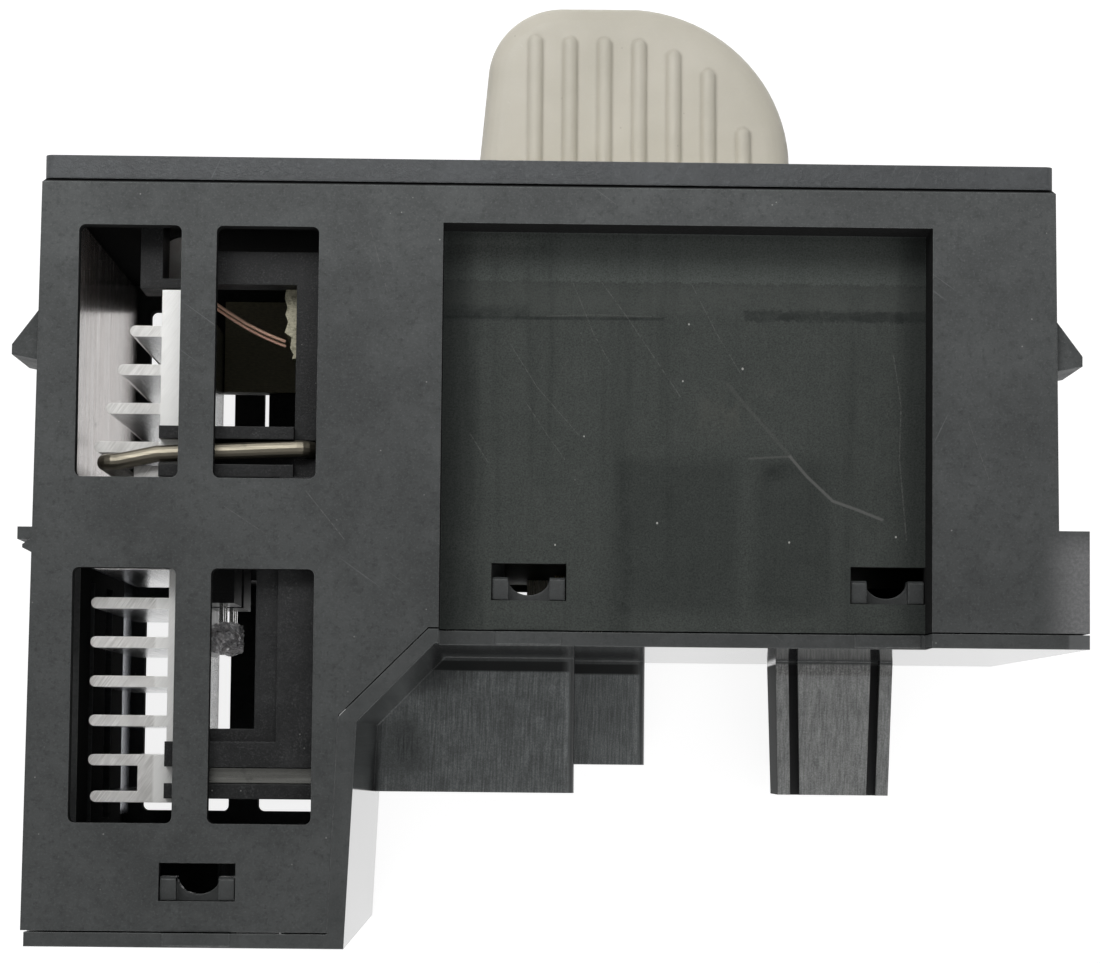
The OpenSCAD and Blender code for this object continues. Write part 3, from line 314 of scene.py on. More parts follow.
class RecessFloor:
    """Tints laid one over another on the floor of the recess, with the noises that they share."""

    def __init__(self, s, color, speckle, dotted):
        self.s = s
        self.color = color
        self.speckle = speckle
        self.dotted = dotted
        level = s.band(s.axis("Z"), RECESS_Z - 0.5, RECESS_Z + 0.6, 0.4)
        self.region = s.times(level, s.mask(s.normal_axis("Z"), 0.6, 0.8))
        self.smoke = s.mask(s.noise(2.6, 5, 0.7, s.stretch(0.8, 1, 1)), 0.34, 0.66)
        self.grit = s.noise(0.21, 3, 0.8)
        drift = s.vmath("SUBTRACT", s.noise(1 / 2.2, 5, 0.5, output="Color"), (0.5, 0.5, 0.5))
        s.plan = s.vmath("ADD", s.mm, s.vmath("SCALE", drift, scale=1.3))

    def lay(self, mask, amount, tint):
        self.color = self.s.mix(self.s.times(mask, self.region, amount), self.color, tint)

    def smoky(self, mask, least):
        """The mask, weaker where the smoke is thin."""
        return self.s.times(mask, self.s.mixf(self.smoke, least, 1.0))

    def ground(self):
        """Grain, faint scratches all over and streaks that run along Y."""
        s = self.s
        self.lay(1.0, 0.7, RECESS_PLAIN)
        self.lay(self.smoke, 0.22, RECESS_PALE)
        self.lay(self.speckle, 0.2, tone(RECESS_PLAIN, 2.0))
        self.lay(s.mask(self.grit, 0.5, 0.64), 0.36, tone(RECESS_PLAIN, 2.3))
        self.lay(s.mask(self.grit, 0.5, 0.38), 0.4, tone(RECESS_PLAIN, 0.4))
        for turn, shift in ((0.5, 3.0), (0.42, 21.0), (-0.25, 40.0)):
            hair = s.mask(s.noise(0.3, 1, 0.5, s.stretch(1, 0.02, 1, turn, (shift, 0, 0))), 0.66, 0.72)
            some = s.mask(s.noise(5, 3, 0.6), 0.45, 0.6)
            self.lay(s.times(hair, some, self.speckle), 0.4, (0.09, 0.092, 0.088))
        for size, high, amount, tint in ((0.5, 0.66, 0.22, RECESS_PALE), (3.6, 0.7, 0.32, RECESS_DARK)):
            streak = s.noise(size, 4, 0.6, s.stretch(1, 0.05, 1))
            self.lay(self.smoky(s.mask(streak, 0.5, high), 0.35), amount, tint)

    def front_bands(self):
        """Bands along the front edge, which lies in the shade of the wall: painted shadow bands, and a
        painted lift of light over the front part.
        """
        s = self.s
        # Painted light: the colour is lifted over the front part, which lies in the wall's shade
        painted_light_lift = s.times(self.region, s.patch((-46.4, 6.0), (13.2, 13.7), 0.3))
        self.color = s.vmath("SCALE", self.color, scale=s.mixf(painted_light_lift, 1.0, 1.6))
        # Painted shadow of the front wall, in two dark bands
        painted_shadow_band = self.smoky(s.patch((-46.4, 8.0), (1.6, 13.7), 0.3), 0.6)
        self.lay(s.times(painted_shadow_band, s.mixf(self.grit, 0.5, 1.0)), 0.2, RECESS_DARK)
        self.lay(self.smoky(s.patch((1.6, 9.4), (13.2, 13.8), 0.4), 0.6), 0.2, RECESS_DARK)
        rubbed = s.times(s.patch((3.5, 8.4), (12.0, 11.2), 1.8), s.mask(self.grit, 0.45, 0.6))
        self.lay(rubbed, 0.4, (0.10, 0.10, 0.095))
        self.lay(s.times(s.patch((-45.0, 9.8), (-36.5, 12.2), 1.6), self.smoke), 0.3, RECESS_PALE)
        self.lay(self.smoky(s.patch((-46.4, 13.8), (13.2, 17.6), 1.0), 0.4), 0.32, RECESS_PALE)
        self.lay(self.smoky(s.patch((2.5, 16.9), (13.0, 18.3), 1.4), 0.3), 0.75, RECESS_DARK)
        self.lay(self.smoky(s.path(((13.0, 18.2), (2.0, 18.25), (-14.0, 18.2)), 0.3), 0.4), 0.6, RECESS_DARK)
        self.lay(self.smoky(s.patch((-46.5, 17.0), (-24.0, 18.3), 0.5), 0.4), 0.6, RECESS_DARK)
        gleam = s.path(((0.2, 18.0), (-6, 17.75), (-12.6, 17.9)), 0.11)
        self.lay(s.times(gleam, s.mixf(self.speckle, 0.4, 1.0)), 0.35, (0.12, 0.12, 0.115))

    def shade_margins_and_stains(self):
        """Painted shade in darker margins beside the walls, and wiped and stained areas near the latches."""
        s = self.s
        # Painted shade beside the side walls and along the front wall
        self.lay(s.patch((9.6, 6), (14, 58), 4.0), 0.45, RECESS_DARK)
        self.lay(s.patch((-48, 6), (-43.6, 58), 3.4), 0.42, RECESS_DARK)
        self.lay(s.patch((-46.5, 7.0), (13.2, 8.3), 1.4), 0.3, RECESS_DARK)
        self.lay(self.smoky(s.patch((-23.4, 35.5), (-8.4, 54.0), 2.6), 0.55), 0.36, RECESS_DARK)
        self.lay(self.smoky(s.patch((-34.6, 35.2), (-25.2, 54.0), 3.0), 0.5), 0.36, RECESS_DARK)
        self.lay(s.times(s.blob((-28.2, 36.8), (3.0, 2.2), 0.8), self.smoke), 0.4, RECESS_DARK)
        self.lay(s.times(s.blob((9.6, 46.5), (4.5, 3.2), 0.9), self.speckle), 0.32, RECESS_PALE)

    def scratches(self):
        """Smears of a rub, the long scratch with its branch, fine scratches and pale specks."""
        s = self.s
        rub = s.mask(s.noise(1.4, 5, 0.75, s.stretch(1, 0.5, 1, 0.3)), 0.42, 0.68)
        self.lay(s.times(s.blob((-21.5, 29.5), (5.2, 5.0), 0.9), rub), 0.4, (0.085, 0.085, 0.075))
        self.lay(s.times(s.blob((-27.2, 27.2), (2.6, 2.0), 0.9), rub), 0.4, (0.08, 0.082, 0.076))
        self.lay(s.path(SCRATCH_START, 0.3), 0.25, (0.10, 0.10, 0.095))
        self.lay(s.path(LONG_SCRATCH, 0.26), 0.5, (0.15, 0.15, 0.145))
        self.lay(s.path(SCRATCH_BRANCH, 0.2), 0.35, (0.12, 0.12, 0.115))
        for points, width in FINE_SCRATCHES:
            self.lay(s.times(s.path(points, width), self.dotted), 0.42, (0.15, 0.15, 0.145))
        for x, y, radius in SPECKS:
            self.lay(s.blob((x, y), (radius, radius * 1.2), 0.6), 0.8, (0.45, 0.45, 0.43))


def housing_details(s, color, roughness):
    """Marks of the photographed side, mostly in the recess; painted light towards the fascia and on a small
    patch at the −X end; painted shade on the dark walls of its openings.
    """
    x, y, z = (s.axis(name) for name in "XYZ")
    outer = s.mask(z, OUTER_Z - 0.5, OUTER_Z - 0.2)
    # Painted light: paler towards the fascia, and a little beside the recess
    painted_light_gain = s.math("ADD", s.mixf(s.mask(y, 66, 4), 1.0, 1.24), s.times(s.mask(x, -44, -50), 0.04))
    front = s.times(s.mask(y, 15, 11), outer)
    color = s.vmath("SCALE", color, scale=s.math("ADD", painted_light_gain, s.times(front, 0.17)))
    speckle = s.mask(s.noise(0.4, 4, 0.75), 0.38, 0.66)
    dotted = s.mask(s.noise(0.5, 3, 0.7), 0.36, 0.62)
    recess = RecessFloor(s, color, speckle, dotted)
    recess.ground()
    recess.front_bands()
    recess.shade_margins_and_stains()
    recess.scratches()
    color = recess.color
    for points, width in OUTER_SCRATCHES:
        color = s.mix(s.times(s.path(points, width), outer, dotted, 0.45), color, (0.18, 0.18, 0.175))
    # Painted light: the side lug is painted paler than the housing around it
    lug_painted_light = s.times(s.mask(x, -58.5, -64.5), s.mask(y, 42, 48), s.mixf(speckle, 0.6, 1.0))
    color = s.mix(lug_painted_light, color, (0.19, 0.19, 0.193))
    # Shade in the seam behind the fascia, and on the walls of windows and recess
    seam = s.times(s.mask(y, FRONT_Y + 0.45, FRONT_Y + 0.25), s.mask(s.noise(0.5, 3, 0.7), 0.1, 0.35))
    color = s.mix(seam, color, (0.003, 0.003, 0.003))
    inside = s.mask(s.math("ABSOLUTE", x), WALL_X - 0.45, WALL_X - 0.85)
    upright = s.times(inside, s.mask(s.across("Z"), 0.5, 0.35))
    shade = s.mix(speckle, (0.002, 0.002, 0.002), (0.009, 0.009, 0.009))
    return s.mix(s.times(upright, 0.95), color, shade), s.mixf(upright, roughness, 1.0)


def carrier_details(s, color, roughness):
    """Granular rubbed patches, and painted shade on the upright walls."""
    grit = s.mask(s.noise(0.24, 4, 0.8), 0.5, 0.64)
    rub = s.mask(s.noise(2.0, 5, 0.7, s.stretch(1, 0.6, 1)), 0.42, 0.66)
    color = s.mix(s.times(grit, s.mixf(rub, 0.25, 0.85)), color, (0.055, 0.056, 0.057))
    # Painted shade: the upright walls darkened nearly to black
    upright = s.mask(s.across("Z"), 0.5, 0.35)
    return s.mix(s.times(upright, 0.85), color, (0.003, 0.003, 0.003)), roughness


def rear_faces(s):
    """Mask of the cover's upright rear faces, which are smooth and glossy."""
    return s.times(s.mask(s.axis("Y"), BACK_Y - 0.3, BACK_Y - 0.2), s.mask(s.across("Z"), 0.5, 0.3))


def cover_details(s, color, roughness):
    """Shrouds and post paler, partly from scuff marks and partly as painted light; painted shade in the
    grooves, on the post's sides, in the corner beside the tower and along the shrouds' base by the wall;
    painted light at the far end; rear faces glossy and painted dark as shade.
    """
    x, y, z = (s.axis(name) for name in "XYZ")
    behind = s.times(s.mask(y, BACK_Y + 0.2, BACK_Y + 0.6), s.mask(z, SHROUD_Z + 1, SHROUD_Z - 1))
    facing = s.mask(s.normal_axis("Z"), 0.7, 0.95)
    patchy = s.mask(s.noise(3.0, 4, 0.65), 0.3, 0.7)
    long_lines = s.mask(s.noise(0.24, 4, 0.75, s.stretch(1, 0.045, 1, 0.03)), 0.36, 0.66)
    grit = s.mask(s.noise(0.2, 4, 0.8), 0.4, 0.62)
    # Tops of the shrouds: scuff marks, and a paler tone that is partly painted light; painted shadow in the
    # corner beside the tower and painted shade along their base by the wall
    top = s.times(behind, facing)
    scuffs_and_painted_light = s.times(top, s.mixf(long_lines, 0.38, 1.0), s.mixf(patchy, 0.62, 1.0))
    color = s.mix(scuffs_and_painted_light, color, (0.275, 0.293, 0.293))
    color = s.mix(s.times(top, s.rest(grit), 0.45), color, (0.03, 0.033, 0.033))
    edge_shade = s.times(s.blob((18.5, 70.5), (4.5, 6), 0.9), long_lines)
    corner = s.math("MAXIMUM", s.blob((17.5, 58.5), (12, 6.5), 0.8), edge_shade)
    root_painted_shade = s.times(top, s.mask(y, BACK_Y + 2.1, BACK_Y + 1.7))
    color = s.mix(s.math("MAXIMUM", s.times(top, corner, 0.8), root_painted_shade), color, (0.004, 0.005, 0.005))
    # Post: upper faces paler, partly scuff marks and partly painted light; painted shade in the grooves and
    # on its sides
    post = s.times(s.band(x, *POST_X, 0.1), behind)
    raised_painted_light = s.times(post, facing, s.mask(z, GROOVE_Z - 0.2, GROOVE_Z + 0.2))
    scuff = s.times(s.mixf(long_lines, 0.5, 1.0), s.mixf(grit, 0.5, 1.0), s.mixf(patchy, 0.75, 1.0))
    color = s.mix(s.times(raised_painted_light, scuff), color, (0.39, 0.39, 0.383))
    groove = s.times(post, facing, s.mask(z, GROOVE_Z + 0.1, GROOVE_Z - 0.2))
    color = s.mix(s.times(groove, 0.95), color, (0.01, 0.01, 0.011))
    cheek_painted_shade = s.times(post, s.rest(facing))
    color = s.mix(s.times(cheek_painted_shade, 0.7), color, (0.014, 0.015, 0.015))
    # Painted light on the ear at the far end, and painted shade on the glossy rear faces
    ear_painted_light = s.times(facing, s.mask(x, -62.4, -62.8))
    color = s.mix(s.times(ear_painted_light, s.mixf(patchy, 0.7, 1.0)), color, (0.105, 0.108, 0.11))
    glossy = s.times(rear_faces(s), s.rest(cheek_painted_shade))
    color = s.mix(glossy, color, (0.012, 0.0125, 0.013))
    return color, s.mixf(glossy, s.mixf(cheek_painted_shade, roughness, 0.85), 0.1)


def knob_plastic():
    s = Shader("knob_beige", (0.565, 0.535, 0.455), specular=0.35)
    s.soften(0.7)
    fine = s.noise(0.3, 4, 0.7)
    s.bump(fine, 0.012)
    color = s.mix(s.mask(s.noise(11, 3, 0.5), 0.3, 0.7), (0.525, 0.496, 0.42), (0.588, 0.556, 0.478))
    color = s.mix(s.times(s.mask(fine, 0.5, 0.7), 0.14), color, (0.64, 0.61, 0.53))
    speck = s.mask(s.cells(3.1), 0.05, 0.03)
    color = s.mix(s.times(speck, 0.35), color, (0.3, 0.27, 0.22))
    scuff = s.mask(s.noise(0.5, 3, 0.6, s.stretch(0.12, 1, 1, 0.7)), 0.66, 0.76)
    some = s.mask(s.noise(7, 2, 0.5), 0.55, 0.7)
    color = s.mix(s.times(scuff, some, 0.25), color, (0.72, 0.70, 0.64))
    return s.done(color, s.mixf(s.mask(s.noise(1.4, 3, 0.5), 0.35, 0.7), 0.42, 0.56))


# Metal

def brushed(name, base, along, rough=(0.18, 0.34), contrast=0.12, spots=0.0):
    """Metal with fine lines along one axis ('X', 'Y' or 'Z')."""
    s = Shader(name, base, roughness=0.3, metallic=1.0)
    lines = s.stretch(*(0.02 if axis == along else 1 for axis in "XYZ"))
    fine = s.noise(0.2, 5, 0.7, lines)
    broad = s.noise(1.5, 3, 0.5, lines)
    s.soften(0.12)
    s.bump(fine, 0.012)
    color = s.mix(s.mask(broad, 0.3, 0.7), tone(base, 1 - contrast), tone(base, 1 + contrast * 0.5))
    color = s.mix(s.times(s.mask(fine, 0.42, 0.75), contrast), color, tone(base, 0.72))
    if spots:
        color = s.mix(s.times(s.mask(s.noise(1.6, 4, 0.6), 0.58, 0.7), spots), color, tone(base, 0.55))
    return s.done(color, s.mixf(s.mask(fine, 0.3, 0.7), rough[0], rough[1]))


def plate_material():
    """Aluminium sheet brushed along Y: brownish in front, nearly white behind with a painted blue-grey
    reflection low down, with smudges.
    """
    s = Shader("plate_brushed", (0.85, 0.81, 0.80), roughness=0.2, metallic=0.6)
    s.soften(0.12)
    fine = s.noise(0.2, 5, 0.7, s.stretch(1, 0.02, 1))
    cross = s.noise(0.25, 4, 0.7, s.stretch(1, 1, 0.03))
    broad = s.noise(1.5, 3, 0.5, s.stretch(1, 0.03, 1))
    s.bump(fine, 0.012)
    drift = s.math("ADD", s.axis("Y"), s.times(s.noise(6, 3, 0.6), 8))
    front = s.mix(s.mask(broad, 0.3, 0.7), (0.76, 0.67, 0.63), (0.92, 0.86, 0.84))
    # Painted reflection: the rear part turns blue-grey low down
    rear = s.mix(s.mask(s.axis("Z"), 22, 26), (0.82, 0.86, 0.95), (0.99, 0.93, 0.93))
    color = s.mix(s.mask(drift, 42, 52), front, rear)
    color = s.mix(s.times(s.mask(fine, 0.45, 0.72), 0.3), color, (0.42, 0.36, 0.33))
    color = s.mix(s.times(s.mask(cross, 0.55, 0.72), 0.28), color, (0.9, 0.88, 0.86))
    smudge = s.mask(s.noise(2.2, 5, 0.7), 0.62, 0.7)
    color = s.mix(s.times(smudge, 0.5), color, (0.12, 0.10, 0.09))
    return s.done(color, s.mixf(s.mask(fine, 0.3, 0.7), 0.12, 0.28))


def sink_material():
    """Extruded aluminium: grooves along Z on the fins, sawn end faces with slanting marks."""
    s = Shader("extruded_aluminium", (0.88, 0.88, 0.87), roughness=0.2, metallic=0.5)
    s.soften(0.1)
    end = s.mask(s.across("Z"), 0.6, 0.9)
    groove = s.noise(0.16, 4, 0.65, s.stretch(1, 1, 0.012))
    broad = s.noise(1.2, 3, 0.5, s.stretch(1, 1, 0.02))
    saw = s.noise(0.12, 4, 0.65, s.stretch(1, 0.03, 1, 0.62))
    s.bump(s.mixf(end, groove, saw), 0.02)
    side = s.mix(s.mask(broad, 0.35, 0.65), (0.70, 0.71, 0.72), (0.9, 0.9, 0.89))
    cut = s.mix(s.mask(saw, 0.38, 0.66), (0.64, 0.63, 0.61), (0.88, 0.87, 0.85))
    cut = s.mix(s.times(s.mask(s.noise(3.5, 3, 0.55), 0.45, 0.62), 0.35), cut, (0.5, 0.49, 0.47))
    spine = s.mask(s.axis("X"), SPINE_X + 0.2, SPINE_X - 0.2)
    cut = s.mix(s.times(spine, s.mixf(saw, 0.6, 1.0)), cut, (0.97, 0.97, 0.95))
    roughness = s.mixf(end, s.mixf(groove, 0.1, 0.22), s.mixf(saw, 0.32, 0.5))
    return s.done(s.mix(end, side, cut), roughness)


# Boards, packages and small parts

def laminate(name, base, edge):
    """Circuit board: solder mask on the broad faces, glass fibre on the edges."""
    s = Shader(name, base, roughness=0.35, specular=0.2)
    s.soften(0.08)
    weave = s.cells(0.35, randomness=0.4)
    s.bump(weave, 0.01)
    color = s.mix(s.mask(s.noise(2.5, 4, 0.6), 0.3, 0.7), tone(base, 0.8), tone(base, 1.25))
    color = s.mix(s.times(s.mask(weave, 0.3, 0.7), 0.2), color, tone(base, 1.7))
    fibre = s.noise(0.18, 4, 0.7, s.stretch(0.3, 1, 1))
    return s, color, s.mix(s.mask(fibre, 0.35, 0.7), tone(edge, 0.7), edge)


def board_material():
    s, color, rim = laminate("board_laminate", (0.055, 0.062, 0.028), (0.5, 0.47, 0.33))
    return s.done(s.mix(s.mask(s.across("Y"), 0.4, 0.8), rim, color), 0.6)


def ragged_board_material():
    s, color, rim = laminate("broken_laminate", (0.16, 0.17, 0.09), (0.56, 0.53, 0.40))
    torn = s.noise(0.5, 5, 0.7)
    rim = s.mix(s.times(s.mask(torn, 0.5, 0.64), 0.7), rim, (0.2, 0.2, 0.14))
    s.bump(torn, 0.15)
    return s.done(s.mix(s.mask(s.normal_axis("Z"), 0.4, 0.8), color, rim), 0.7)


def package_material():
    """Black epoxy package with bright tinned leads."""
    s = Shader("epoxy_black", (0.016, 0.016, 0.017), roughness=0.45)
    s.soften(0.08)
    fine = s.noise(0.2, 4, 0.6)
    s.bump(fine, 0.02)
    lead = s.mask(s.axis("Y"), LEAD_Y - 0.05, LEAD_Y + 0.05)
    body = s.mix(s.mask(fine, 0.4, 0.7), (0.012, 0.012, 0.013), (0.026, 0.026, 0.027))
    tin = s.mix(s.mask(s.noise(0.5, 3, 0.6), 0.35, 0.65), (0.5, 0.5, 0.48), (0.86, 0.86, 0.84))
    s.put("Metallic", lead)
    return s.done(s.mix(lead, body, tin), s.mixf(lead, 0.45, 0.2))


def soft_plain(name, base, rough=0.5, relief=0.02, grain=0.3, contrast=0.15, metallic=0.0):
    """Plain plastic, ceramic, film or lacquered wire with a fine grain."""
    s = Shader(name, base, roughness=rough, metallic=metallic)
    s.soften(0.1)
    fine = s.noise(grain, 4, 0.6)
    s.bump(fine, relief)
    broad = s.mask(s.noise(3.0, 3, 0.55), 0.3, 0.7)
    color = s.mix(broad, tone(base, 1 - contrast), tone(base, 1 + contrast))
    color = s.mix(s.times(s.mask(fine, 0.5, 0.8), 0.4), color, tone(base, 0.8))
    return s.done(color, s.mixf(fine, rough * 0.8, rough * 1.2))


def foil_material():
    """Creased silver foil with facets painted in different brightness as painted light, and painted shade in
    the creases.
    """
    s = Shader("foil_silver", (0.92, 0.92, 0.93), roughness=0.25, metallic=0.3)
    slanted = s.stretch(0.8, 1.5, 1, 0.5)
    crease = s.cells(1.5, "DISTANCE_TO_EDGE", slanted)
    s.bump(s.mask(crease, 0.0, 0.3), 0.2)
    s.bump(s.noise(0.9, 3, 0.6), 0.1)
    # Painted light: each facet gets its own brightness
    facet_painted_light = s.cells(1.5, vector=slanted, output="Color")
    color = s.mix(s.mask(facet_painted_light, 0.3, 0.9), (0.66, 0.65, 0.66), (0.97, 0.97, 0.98))
    # Painted shade in the creases
    color = s.mix(s.times(s.mask(crease, 0.06, 0.0), 0.6), color, (0.42, 0.40, 0.40))
    color = s.mix(s.times(s.mask(s.noise(1.6, 4, 0.6), 0.54, 0.66), 0.4), color, (0.5, 0.44, 0.43))
    return s.done(color, s.mixf(s.mask(crease, 0.05, 0.2), 0.4, 0.22))


# The materials on the CAD nodes

def dress(material, *names):
    for name in names:
        obj = NODES[name]
        if not obj.material_slots:
            obj.data.materials.append(material)
        for slot in obj.material_slots:
            slot.link = "OBJECT"
            slot.material = material


dress(moulded("housing_charcoal", (0.0615, 0.0645, 0.0645), specular=0.07, details=housing_details),
      "main_housing")
dress(moulded("cover_charcoal", (0.046, 0.049, 0.049), grain=0.25, wear=0.9, rough=(0.36, 0.48),
              smooth=rear_faces, details=cover_details), "rear_cover")
dress(moulded("fascia_black", (0.055, 0.059, 0.062), grain=0.5, relief=0.1, rough=(0.4, 0.55), wear=1.0,
              dust=0.15), "fascia")
dress(moulded("carrier_black", (0.0125, 0.013, 0.0135), grain=0.22, relief=0.05, rough=(0.4, 0.55), wear=0.6,
              dust=0.35, mottle=0.35, hairs=0.5, specular=0.25, details=carrier_details), "carrier_frame")
dress(knob_plastic(), "knob")
dress(sink_material(), "heat_sink")
dress(plate_material(), "side_plate")
dress(brushed("clip_nickel", (0.25, 0.228, 0.18), "X", (0.36, 0.52), contrast=0.35, spots=0.5),
      "spring_clip_front")
dress(brushed("strip_steel", (0.40, 0.40, 0.375), "X", (0.2, 0.4), contrast=0.5, spots=0.5),
      "spring_clip_rear")
dress(brushed("shaft_steel", (0.55, 0.55, 0.55), "Y", (0.2, 0.35)), "knob_shaft")
dress(brushed("clip_black_steel", (0.2, 0.2, 0.21), "Y", (0.3, 0.4)), "retaining_clip")
dress(brushed("spring_steel", (0.6, 0.6, 0.58), "X", (0.2, 0.3)), "detent_spring")
dress(brushed("spindle_steel", (0.6, 0.6, 0.6), "X", (0.2, 0.3)), "spindle")
dress(brushed("contact_brass", (0.78, 0.6, 0.3), "X", (0.22, 0.36)),
      "fixed_contacts", "contact_pins", "contact_bridge")
dress(brushed("terminal_tin", (0.74, 0.70, 0.58), "Y", (0.2, 0.34), spots=0.25),
      "main_terminals", "auxiliary_terminals")
dress(board_material(), "dimmer_board", "main_board")
dress(ragged_board_material(), "driver_board")
dress(package_material(), "transistor_front", "transistor_rear")
dress(soft_plain("film_silver", (0.75, 0.76, 0.76), 0.3, relief=0.03, grain=0.6), "insulating_film")
# Painted light: the core's colour raised nearly to white, as it sits in shade
dress(soft_plain("ferrite_pink", (0.95, 0.85, 0.81), 0.4, relief=0.05, grain=0.25), "choke_core")
dress(soft_plain("winding_copper", (1.0, 0.62, 0.46), 0.3, relief=0.004, grain=0.5, contrast=0.05,
                 metallic=0.1), "choke_winding")
dress(soft_plain("base_cream", (0.58, 0.55, 0.46)), "switch_base")
dress(soft_plain("rotor_cream", (0.72, 0.7, 0.62), 0.45), "rotor")
dress(soft_plain("pot_blue", (0.06, 0.10, 0.2), 0.4), "potentiometer")
dress(soft_plain("wheel_black", (0.02, 0.02, 0.021), 0.6, relief=0.05, grain=0.25), "thumbwheel")


# Crumpled end of the insulating film

FOIL_START = (55.9, 22.4)    # Y and Z of the corner at the film
FOIL_REACH = 6.1             # along X, away from the film
FOIL_LENGTH = 3.6            # along Y
FOIL_RISE = 3.4              # along Z, within the half next to the film
FOIL_THICKNESS = 0.09
FOIL_CELLS = (20, 14)        # cells across and along the sheet


def crumpled_point(rng, edge, u, v):
    """A point of the sheet in mm; u is 0 at the film, v runs along it."""
    free = min(1.0, 3 * u)
    x = edge - FOIL_REACH * u + free * rng.uniform(-0.12, 0.12)
    sway = 0.3 * math.sin(7 * u + 3 * v) + rng.uniform(-0.1, 0.1)
    y = FOIL_START[0] + FOIL_LENGTH * v + free * sway
    wave = 0.55 * math.sin(9 * u + 4 * v) + 0.35 * math.cos(13 * v) + rng.uniform(-0.22, 0.22)
    z = FOIL_START[1] + FOIL_RISE * min(1.0, 2.2 * u) + free * wave
    return x * MM, y * MM, z * MM


def foil():
    """A thin crumpled sheet that hangs from the insulating film over the transistor's end."""
    rng = random.Random(5)
    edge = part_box("insulating_film")[0][0] / MM + 0.05
    across, along = FOIL_CELLS
    row = along + 1
    upper = []
    for i in range(across + 1):
        upper += [crumpled_point(rng, edge, i / across, j / along) for j in range(row)]
    points = upper + [(x, y, z - FOIL_THICKNESS * MM) for x, y, z in upper]
    count = len(upper)
    faces = []
    for i in range(across):
        for j in range(along):
            a, d = i * row + j, i * row + j + 1
            b, c = a + row, d + row
            faces += [(a, d, c, b), (a + count, b + count, c + count, d + count)]
    ring = list(range(row)) + [i * row + along for i in range(1, across + 1)]
    ring += [across * row + j for j in range(along - 1, -1, -1)]
    ring += [i * row for i in range(across - 1, 0, -1)]
    for a, b in zip(ring, ring[1:] + ring[:1]):
        faces.append((a, a + count, b + count, b))
    data = bpy.data.meshes.new("foil_end")
    data.from_pydata(points, [], faces)
    bm = bmesh.new()
    bm.from_mesh(data)
    bmesh.ops.recalc_face_normals(bm, faces=bm.faces)
    bm.to_mesh(data)
    bm.free()
    data.materials.append(foil_material())
    obj = bpy.data.objects.new("foil_end", data)
    scene.collection.objects.link(obj)
    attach(obj, "housing")


scene = bpy.context.scene
foil()


# Camera, fitted to the photograph

FOCAL_PIXELS = 2924.12911
PHOTO_WIDTH = 1100

scene.view_settings.view_transform = "Standard"
lens = bpy.data.cameras.new("photo_camera")
lens.sensor_fit = "HORIZONTAL"
lens.sensor_width = 36
lens.lens = FOCAL_PIXELS / PHOTO_WIDTH * 36
lens.shift_x = 0.0
lens.shift_y = 0.08
lens.clip_start = 0.01
lens.clip_end = 10
camera = bpy.data.objects.new("photo_camera", lens)
camera.location = (3.8447 * MM, 70.75715 * MM, 384.68825 * MM)
camera.rotation_euler = (0.06112, -0.0129, 3.15159)
scene.collection.objects.link(camera)
scene.camera = camera


# Floor and light

FLOOR_GREY = 0.93    # the floor as it lights the object
FLOOR_GLOW = 0.87    # how bright the floor is to the camera and to mirror rays
FLOOR_SHADE = 0.3    # how much of it keeps the object's shadow
FLOOR_GAP = 0.02 * MM
WORLD_LIGHT = 0.30   # what the world gives as light
CEILING = 0.2        # how bright mirror rays find it overhead


def seen_rays(tree):
    """1 for camera, mirror and clear rays, else 0."""
    path = add_node(tree, "ShaderNodeLightPath")
    total = path.outputs["Is Camera Ray"]
    for kind in ("Is Glossy Ray", "Is Transmission Ray"):
        larger = add_node(tree, "ShaderNodeMath", {0: total, 1: path.outputs[kind]}, operation="MAXIMUM")
        total = larger.outputs[0]
    return total


def floor_material():
    """Pale floor: near white to camera, mirror and clear rays, with a faint shadow of the object."""
    mat = bpy.data.materials.new("floor_white")
    mat.use_nodes = True
    tree = mat.node_tree
    tree.nodes.clear()
    lit = add_node(tree, "ShaderNodeBsdfDiffuse", {"Color": (FLOOR_GREY,) * 3})
    faint = add_node(tree, "ShaderNodeBsdfDiffuse", {"Color": (FLOOR_SHADE,) * 3})
    glow = add_node(tree, "ShaderNodeEmission", {"Strength": FLOOR_GLOW})
    both = add_node(tree, "ShaderNodeAddShader", {0: faint.outputs[0], 1: glow.outputs[0]})
    inputs = {0: seen_rays(tree), 1: lit.outputs[0], 2: both.outputs[0]}
    choose = add_node(tree, "ShaderNodeMixShader", inputs)
    add_node(tree, "ShaderNodeOutputMaterial", {"Surface": choose.outputs[0]})
    return mat


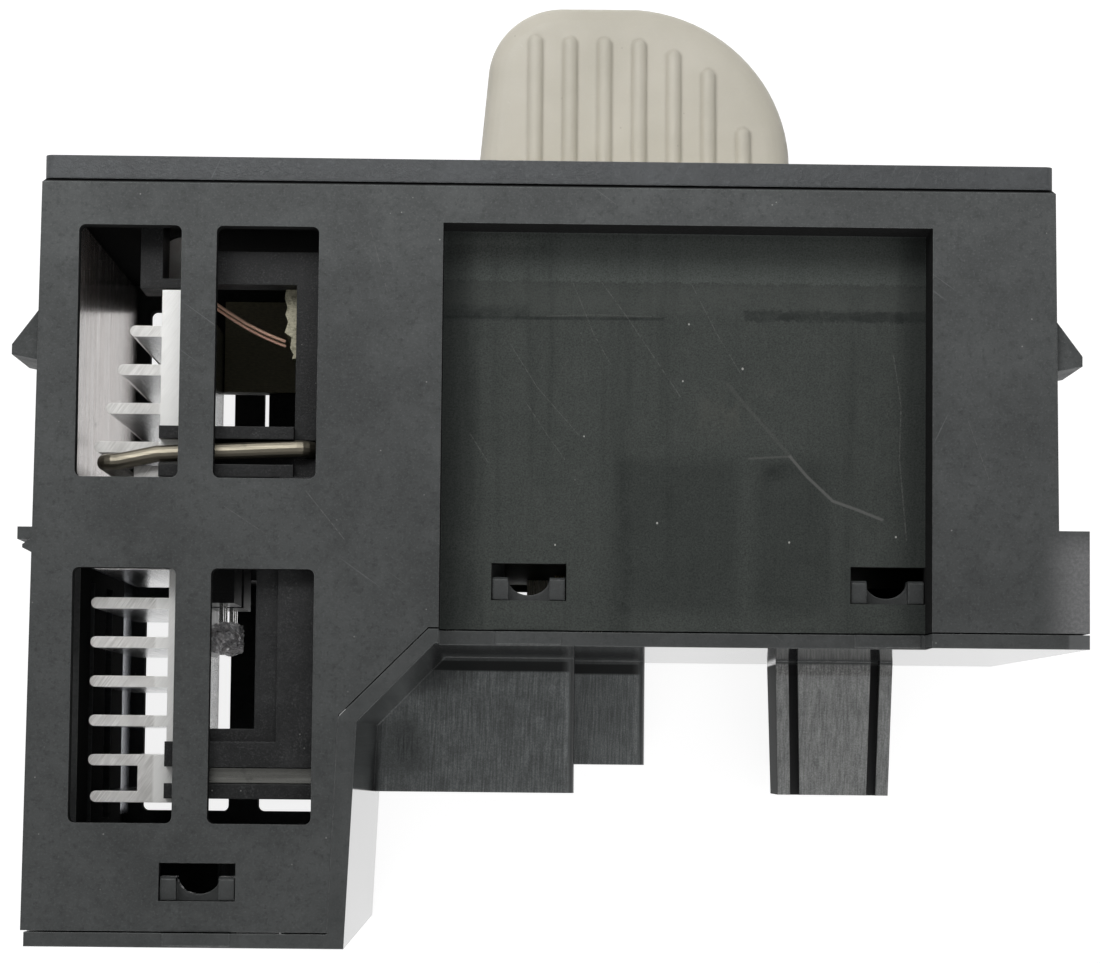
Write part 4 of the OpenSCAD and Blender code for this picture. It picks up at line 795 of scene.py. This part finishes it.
mesh = bpy.data.meshes.new("floor")
bm = bmesh.new()
bmesh.ops.create_grid(bm, x_segments=1, y_segments=1, size=3.0)
bm.to_mesh(mesh)
bm.free()
mesh.materials.append(floor_material())
floor = bpy.data.objects.new("floor", mesh)
floor.location = (0, 0, BOX[0][2] - FLOOR_GAP)
scene.collection.objects.link(floor)


def studio():
    """White to the camera; to mirror rays white around and darker above; weaker as light."""
    world = bpy.data.worlds.new("studio")
    scene.world = world
    world.use_nodes = True
    tree = world.node_tree
    coordinates = add_node(tree, "ShaderNodeTexCoord")
    way = add_node(tree, "ShaderNodeSeparateXYZ", {0: coordinates.outputs["Generated"]})
    span = {"From Min": 0.35, "From Max": 0.92, "To Min": 1.0, "To Max": CEILING}
    above = add_node(tree, "ShaderNodeMapRange", {"Value": way.outputs["Z"], **span})
    rays = add_node(tree, "ShaderNodeLightPath")
    inputs = {0: rays.outputs["Is Glossy Ray"], 2: 1.0, 3: above.outputs["Result"]}
    glossy = add_node(tree, "ShaderNodeMix", inputs)
    strength = add_node(tree, "ShaderNodeMix", {0: seen_rays(tree), 2: WORLD_LIGHT, 3: glossy.outputs[0]})
    background = tree.nodes["Background"]
    feed(tree, background.inputs["Color"], (1, 1, 1))
    feed(tree, background.inputs["Strength"], strength.outputs[0])


def lamp(name, place, aim, size, power):
    """Soft rectangular lamp at place that looks at aim, in metres, with its power in watts."""
    data = bpy.data.lights.new(name, "AREA")
    data.shape = "RECTANGLE"
    data.size, data.size_y = size
    data.energy = power
    obj = bpy.data.objects.new(name, data)
    obj.location = place
    obj.rotation_euler = (Vector(aim) - Vector(place)).to_track_quat("-Z", "Y").to_euler()
    scene.collection.objects.link(obj)


studio()
lamp("key", place=(0.07, -0.17, 0.27), aim=(0, 0.03, 0), size=(0.3, 0.14), power=0.75)
lamp("fill", place=(-0.6, 0.35, 0.7), aim=(0, 0.04, 0), size=(0.7, 0.7), power=1.1)
lamp("rear", place=(-0.03, 0.5, 0.15), aim=(-0.01, 0.06, 0), size=(0.6, 0.2), power=1.5)
